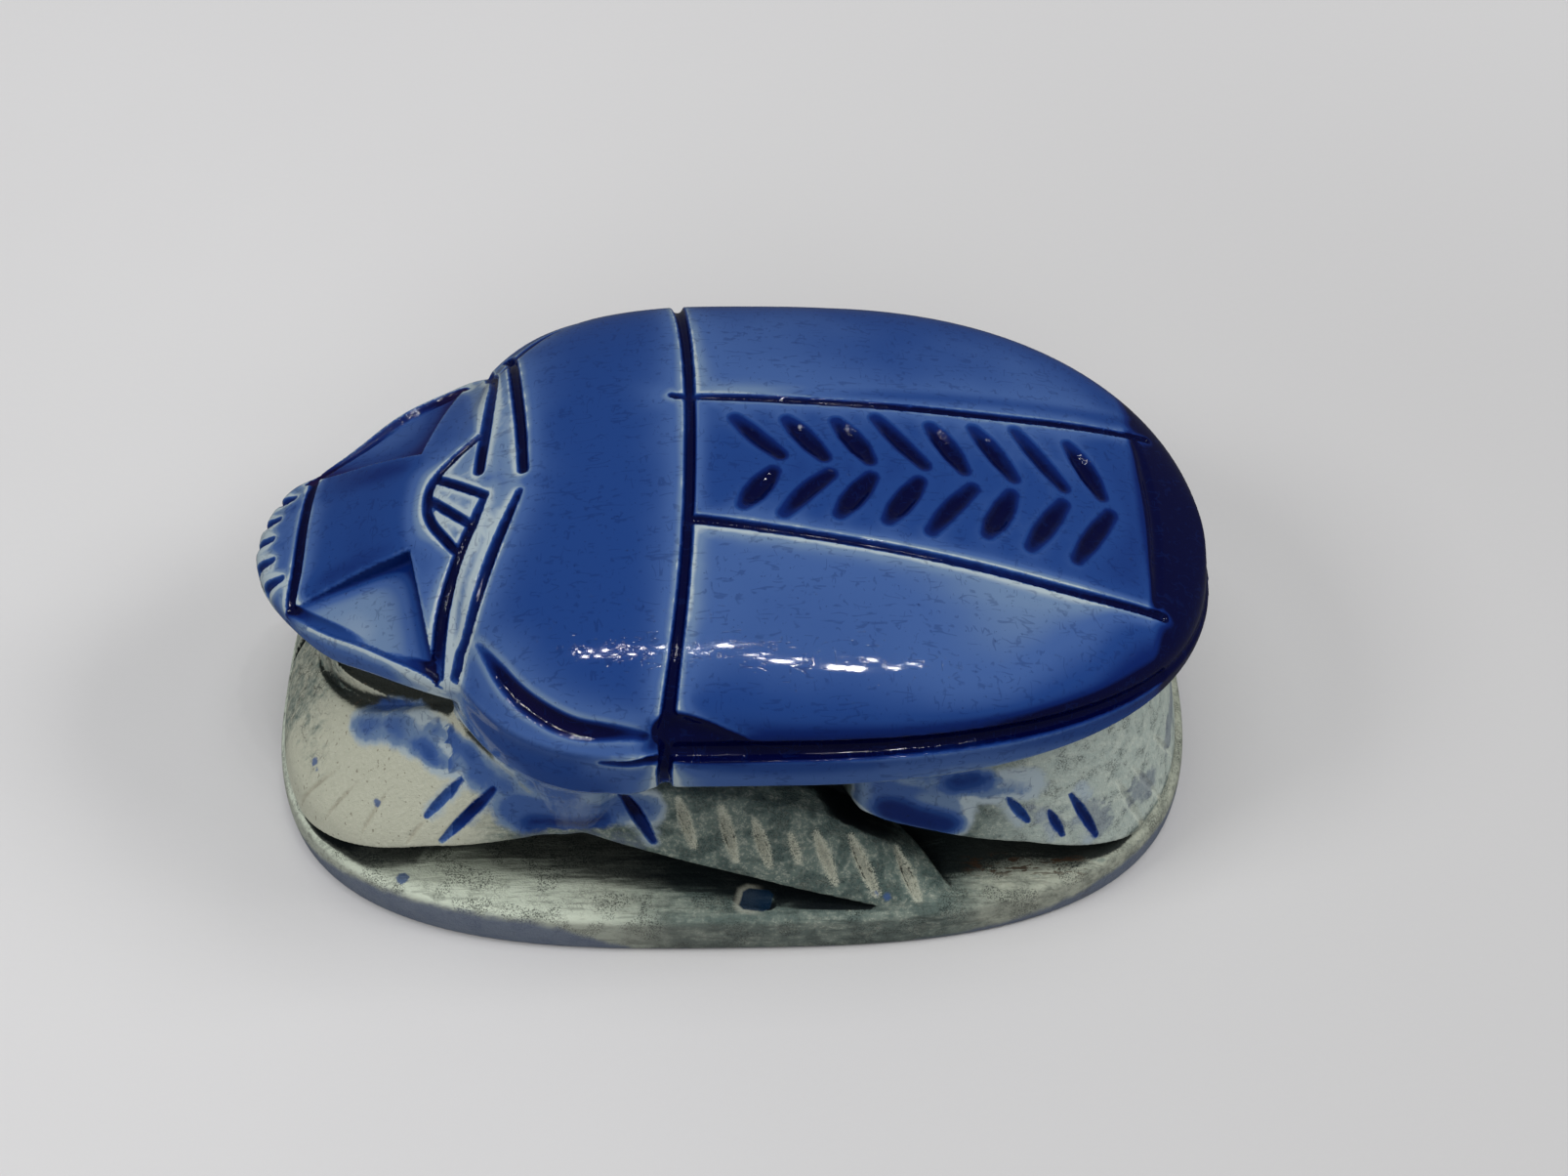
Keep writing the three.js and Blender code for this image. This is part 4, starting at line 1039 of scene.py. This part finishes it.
    # the stone itself: cream where it was rubbed, green-grey where it was not
    streak = s.noise(place, 0.8, 4.0, 0.65, (0.22, 1.8, 1.2))
    ledge = z.ramp(5.4, 4.9)
    front = x.ramp(-17, -27)
    hind = x.ramp(20, 30) * z.ramp(5.0, 6.0)
    flap = (side.ramp(13, 9) * front).most(x.ramp(-36, -41) * z.ramp(8.5, 11.5) * 0.8)
    inBar = (bar + (grit - 0.5) * 1.1).ramp(-0.1, 0.35, 1.0, 0.0)
    creamy = front * z.ramp(4.8, 5.6) * 1.15 + ledge * (x.ramp(-2, -14, 0.15, 0.75) + x.ramp(19, 25) * 0.6)
    creamy = creamy + (streak - 0.5) * 1.8 + (blotch - 0.5) * 1.0 - flap * 0.70 + hind * 0.42
    creamy = creamy.ramp(0.1, 0.9).most(inBar * (1 - front))
    k, look = stoneShare, stoneLook
    stone = s.mix(creamy, look["green"], look["cream"])
    stone = s.mix((fine * 0.6 + grit * 0.4).ramp(0.46, 0.66) * k["pale"], stone, look["pale"])
    teal = blotch.ramp(0.40, 0.60) * (1 - front) * (1 - ledge) * (1 - inBar)
    stone = s.mix(teal * k["teal"], stone, look["teal"])
    stone = s.mix(ledge * x.ramp(0, -18, k["farLedge"], k["foreLedge"]), stone, look["ledge"])
    worn = ledge * x.ramp(-14, -4) * (streak * 0.5 + blotch * 0.5).ramp(0.40, 0.56)
    stone = s.mix(worn * x.ramp(26, 18, k["wornHind"], k["wornFore"]), stone, look["worn"])
    stone = s.mix(hind * k["hind"], stone, look["hind"])

    # painted shade, with some grime, where other parts stand close, in hollow places and in the gap under the head,
    # then scores, pits, splits and mottling
    shade = (1 - openSky) + (grit - 0.5) * 0.30 + (streak - 0.5) * 0.40
    shade = shade - ledge * x.ramp(0, -16, 0.05, 0.16) - hind * 0.10
    # painted shade in the gap between the head and the front legs
    hollow = s.attribute("hollows").ramp(0.3, -0.1) * x.ramp(-37, -33)
    shadeAndDirt = shade.ramp(0.30, 0.56) + (-fineBend).ramp(0.2, 1.2) * 0.3 + hollow
    stone = s.mix(shadeAndDirt.clamped() * (k["grimeAndShade"] - hind * 0.3), stone, look["grimeAndShade"])
    # painted shadow: near black in the undercut under the legs and on the ledge beside them
    closeBy = 1 - openSky + (streak - 0.5) * 0.15
    undercutShadow = (closeBy.ramp(0.42, 0.58) * z.ramp(14, 11)).most(closeBy.ramp(0.37, 0.50) * ledge)
    stone = s.mix(undercutShadow * (1 - x.ramp(17, 22) * ledge * 0.75) * k["undercutShadow"], stone, look["undercutShadow"])
    scored = s.noise(place, 1.5, 3.0, 0.6, (0.20, 1.6, 1.0)).ramp(0.52, 0.62) * ledge
    pocked = grit.ramp(0.50, 0.58) * s.noise(place, 0.35, 1.0).ramp(0.52, 0.60) * ledge
    stone = s.mix((scored * k["scored"]).most(pocked * k["pocked"]), stone, look["grimeAndShade"])
    cells = s.node("ShaderNodeTexVoronoi", {"feature": "DISTANCE_TO_EDGE"},
                   {"Vector": s.bent(place, 0.5, 1.6), "Scale": 0.55}, output="Distance")
    split = cells.ramp(0.0, 0.05, 1.0, 0.0) * blotch.ramp(0.45, 0.6) * (hind * 0.5).most(flap).most(ledge * 0.35)
    stone = s.mix(split * k["split"], stone, look["grimeAndShade"])
    mottle = blotch.ramp(0.46, 0.62) * grit.ramp(0.48, 0.60) * (1 - front * z.ramp(5.0, 6.0) * (1 - flap))
    stone = s.mix(mottle * (1 - inBar) * (k["mottle"] - ledge * 0.30), stone, look["grimeAndShade"])
    # the slab's upright side is darker and tan: partly its own colour, partly painted shade on a side that faces
    # sideways
    stone = s.mix(z.ramp(4.4, 3.6) * x.ramp(15, -15, k["hindSideTanAndShade"], k["foreSideTanAndShade"]), stone, look["slabSideTanAndShade"])
    pits = s.noise(place, 2.4, 1.0).ramp(0.69, 0.73) * front * z.ramp(5.0, 6.0)
    stone = s.mix(pits * k["pit"], stone, look["pit"])

    # the blue wash, the rusty patch, the fine lines on the front leg, the chip and the drops
    washed = s.attribute("wash") + (blotch - 0.5) * z.ramp(4.5, 6.0, 1.2, 4.0) + (fine - 0.5) * 0.3
    washed = washed.ramp(-0.5, 0.6)
    stone = s.mix(washed * z.ramp(4.5, 6.0, k["slabWash"], k["legWash"]), stone, look["wash"])
    crust = s.noise(place, 1.4, 3.0, 0.7, (0.4, 1.2, 1.0)).ramp(0.53, 0.58)
    rust = crust * x.ramp(21, 23) * x.ramp(35, 31) * ledge * side.ramp(22.8, 23.6) * side.ramp(26.2, 25.0)
    stone = s.mix(rust * k["rust"], stone, look["rust"])
    nickLine = bar.ramp(-0.2, 0.12, 1.0, 0.0) * front
    stone = s.mix(nickLine * k["nickLine"], stone, look["nickLine"])
    along, across = x - chip["x"], y - chip["y"]
    chipAlong = ((along - across * chip["slant"][0]) / chip["halfLength"]).size()
    chipAcross = ((across + along * chip["slant"][1]) / chip["halfWidth"]).size()
    offLedge = (z - base["height"]).size().ramp(0.5, 0.9)
    chipped = 1.05 - chipAlong.most(chipAcross).most((chipAlong + chipAcross) / chip["bluntness"]) - offLedge * 4
    stone = s.mix(chipped.ramp(-0.5, -0.1) * x.ramp(3.0, 1.4) * k["chipRim"], stone, look["pale"])
    inChip = chipped.ramp(-0.05, 0.1)
    stone = s.mix(inChip * k["chip"], stone, look["chip"])
    folded = s.node("ShaderNodeCombineXYZ", {}, {"X": x, "Y": side, "Z": z})
    dropped = 0.0
    for middle, radius in drops:
        away = s.node("ShaderNodeVectorMath", {"operation": "DISTANCE"}, {0: folded, 1: middle}, output="Value")
        dropped = (away + (fine - 0.5) * 0.5).ramp(radius + 0.12, radius - 0.12) + dropped
    stone = s.mix(dropped.clamped() * k["drop"], stone, look["drop"])

    colour = s.mix(glazed, stone, glazeColour)
    stoneRoughness = stoneLook["roughness"] - washed * 0.22 - inChip * 0.35
    roughness = glazed * glazeLook["roughness"] + (1 - glazed) * stoneRoughness

    # relief: slow ripples and cracks in the glaze, grain and scratches in the stone
    ripple = s.noise(place, 0.25, 0.0) * 0.007 + s.noise(place, 0.8, 0.0) * 0.003
    glazeRelief = ripple - crack * 0.004 - specks * 0.008
    scratch = s.noise(place, 2.2, 3.0, 0.65, (0.35, 2.0, 1.0))
    stoneRelief = fine * 0.12 + grit * 0.06 + scratch * 0.10
    relief = glazeRelief * glazed + (stoneRelief - 0.1) * (1 - glazed)
    bump = s.node("ShaderNodeBump", {}, {"Strength": 1.0, "Distance": mm, "Height": relief})
    surface = s.node("ShaderNodeBsdfPrincipled", {}, {
        "Base Color": colour, "Roughness": roughness, "IOR": glazeLook["ior"], "Normal": bump})
    s.node("ShaderNodeOutputMaterial", {}, {"Surface": surface})
    return material


scarab.data.materials.append(glazedSoapstone())
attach(scarab, "root")
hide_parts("scarab")
print("glaze and stone made")


studio = {
    "floorSize": 4.0, "floor": (0.640, 0.637, 0.643), "rightShade": 0.82, "farLight": 1.06,
    "world": (0.80, 0.81, 0.84), "worldStrength": 0.235, "mirroredWorld": 0.10,
    "cameraPlace": (2.51, -153.09, 186.83), "cameraLook": (0.0117, 0.6690, -0.7431), "lens": 54.07,
}


def shaded(colour, factor):
    return tuple(c * factor for c in colour)


def paleTable():
    half = studio["floorSize"] / 2
    mesh = bpy.data.meshes.new("paleTable")
    mesh.from_pydata([(-half, -half, 0), (half, -half, 0), (half, half, 0), (-half, half, 0)], [], [(0, 1, 2, 3)])
    table = bpy.data.objects.new("paleTable", mesh)
    bpy.context.collection.objects.link(table)
    material = bpy.data.materials.new("paleTable")
    s = Shader(material)
    coordinates = s.node("ShaderNodeTexCoord", output="Object")
    place = s.node("ShaderNodeVectorMath", {"operation": "SCALE"}, {0: coordinates, "Scale": 1 / mm})
    mottle = s.noise(place, 0.02, 3.0)
    tooth = s.noise(place, 1.2, 2.0)
    parts = s.node("ShaderNodeSeparateXYZ", {}, {0: place})
    floor = studio["floor"]
    paper = s.mix(mottle.ramp(0.3, 0.7), floor, shaded(floor, 0.98))
    # painted shade towards the right of the table and painted light towards its back
    paper = s.mix(parts.ramp(-90, 90), paper, shaded(floor, studio["rightShade"]))
    paper = s.mix(parts.sister("Y").ramp(30, 150) * 0.5, paper, shaded(floor, studio["farLight"]))
    bump = s.node("ShaderNodeBump", {}, {"Strength": 0.2, "Distance": mm * 0.1, "Height": tooth})
    surface = s.node("ShaderNodeBsdfPrincipled", {}, {"Base Color": paper, "Roughness": 0.75, "Normal": bump})
    s.node("ShaderNodeOutputMaterial", {}, {"Surface": surface})
    mesh.materials.append(material)
    table.visible_glossy = False  # keeps the pale table out of the glaze
    return table


def softLight(name, place, target, size, power, colour=(1, 1, 1), mirrored=False):
    data = bpy.data.lights.new(name, "AREA")
    data.shape = "RECTANGLE"
    data.size, data.size_y = size
    data.energy = power
    data.color = colour
    lamp = bpy.data.objects.new(name, data)
    lamp.location = place
    lamp.rotation_euler = (Vector(target) - Vector(place)).to_track_quat("-Z", "Y").to_euler()
    lamp.visible_glossy = mirrored  # only the small lamps show as highlights on the glaze
    bpy.context.collection.objects.link(lamp)
    return lamp


# The large lamps don't show on the glaze. The small ones are placed and sized in millimetres, and do.
areaLamps = {
    "lampLeft": {"place": (-0.75, -0.25, 0.75), "size": (0.35, 0.35), "power": 3.35, "colour": (1.0, 0.995, 0.98)},
    "lampRight": {"place": (0.75, 0.0, 0.62), "size": (0.35, 0.35), "power": 3.9, "colour": (1.0, 0.99, 0.97)},
    "lampNear": {"place": (0.1, -0.95, 0.70), "size": (0.6, 0.4), "power": 2.35, "colour": (1.0, 1.0, 1.0)},
    "ceiling": {"place": (0.0, 0.10, 1.30), "size": (1.0, 0.8), "power": 4.1, "colour": (1.0, 1.0, 1.0)},
}
smallLamps = {
    "height": 0.6, "target": (0.0, -0.02, 0.03), "power": 4.4e-4,
    "rowCount": 14, "rowStart": -270, "rowStep": 17, "clusterScale": 0.62,
    "clusters": [(-34, 14, 5, 9), (-26, -10, 5, 8), (-18, 10, 5, 9), (-10, -12, 5, 7), (8, 25, 15, 16),
                 (26, 32, 3, 8), (29, -16, 3, 14), (36, -30, 6, 8), (40, -8, 5, 8), (54, -42, 20, 20),
                 (72, -24, 10, 12), (109, -52, 44, 18), (131, 8, 14, 12), (160, -26, 12, 18),
                 (167, -6, 4, 8), (187, 10, 12, 12), (201, -2, 3, 8)],
}


def lampRow():
    # small bare lamps high over the table give the broken highlight on the near flank
    start, step = smallLamps["rowStart"], smallLamps["rowStep"]
    spots = [(start + step * i, 34 - i - 26 * (i % 2), 7 - 0.2 * i, 10 - 0.4 * i)
             for i in range(smallLamps["rowCount"])]
    scale = smallLamps["clusterScale"]
    spots += [(x, y, scale * long, scale * wide) for x, y, long, wide in smallLamps["clusters"]]
    for i, (x, y, long, wide) in enumerate(spots):
        place = (x / 1000, y / 1000, smallLamps["height"])
        softLight(f"smallLamp{i}", place, smallLamps["target"], (long / 1000, wide / 1000),
                  long * wide * smallLamps["power"], mirrored=True)


paleTable()
for name, lamp in areaLamps.items():
    softLight(name, lamp["place"], (0, 0, 0), lamp["size"], lamp["power"], lamp["colour"])
lampRow()


def paleRoom():
    # the glaze mirrors a darker room than the one that lights it
    world = bpy.data.worlds.new("paleRoom")
    s = Shader(world)
    mirrored = s.node("ShaderNodeLightPath", output="Is Glossy Ray")
    strength = s.node("ShaderNodeMapRange", {}, {
        "Value": mirrored, "To Min": studio["worldStrength"], "To Max": studio["mirroredWorld"]})
    room = s.node("ShaderNodeBackground", {}, {"Color": studio["world"], "Strength": strength})
    s.node("ShaderNodeOutputWorld", {}, {"Surface": room})
    return world


bpy.context.scene.world = paleRoom()
bpy.context.scene.view_settings.view_transform = "Standard"

lens = bpy.data.cameras.new("camera")
lens.lens = studio["lens"]
lens.sensor_width = 36.0
lens.clip_start = 0.01
camera = bpy.data.objects.new("camera", lens)
camera.location = Vector(studio["cameraPlace"]) * mm
camera.rotation_euler = Vector(studio["cameraLook"]).to_track_quat("-Z", "Y").to_euler()
bpy.context.collection.objects.link(camera)
bpy.context.scene.camera = camera
print("studio set")


def corners(bounds):
    return [[float(v) for v in corner] for corner in bounds]
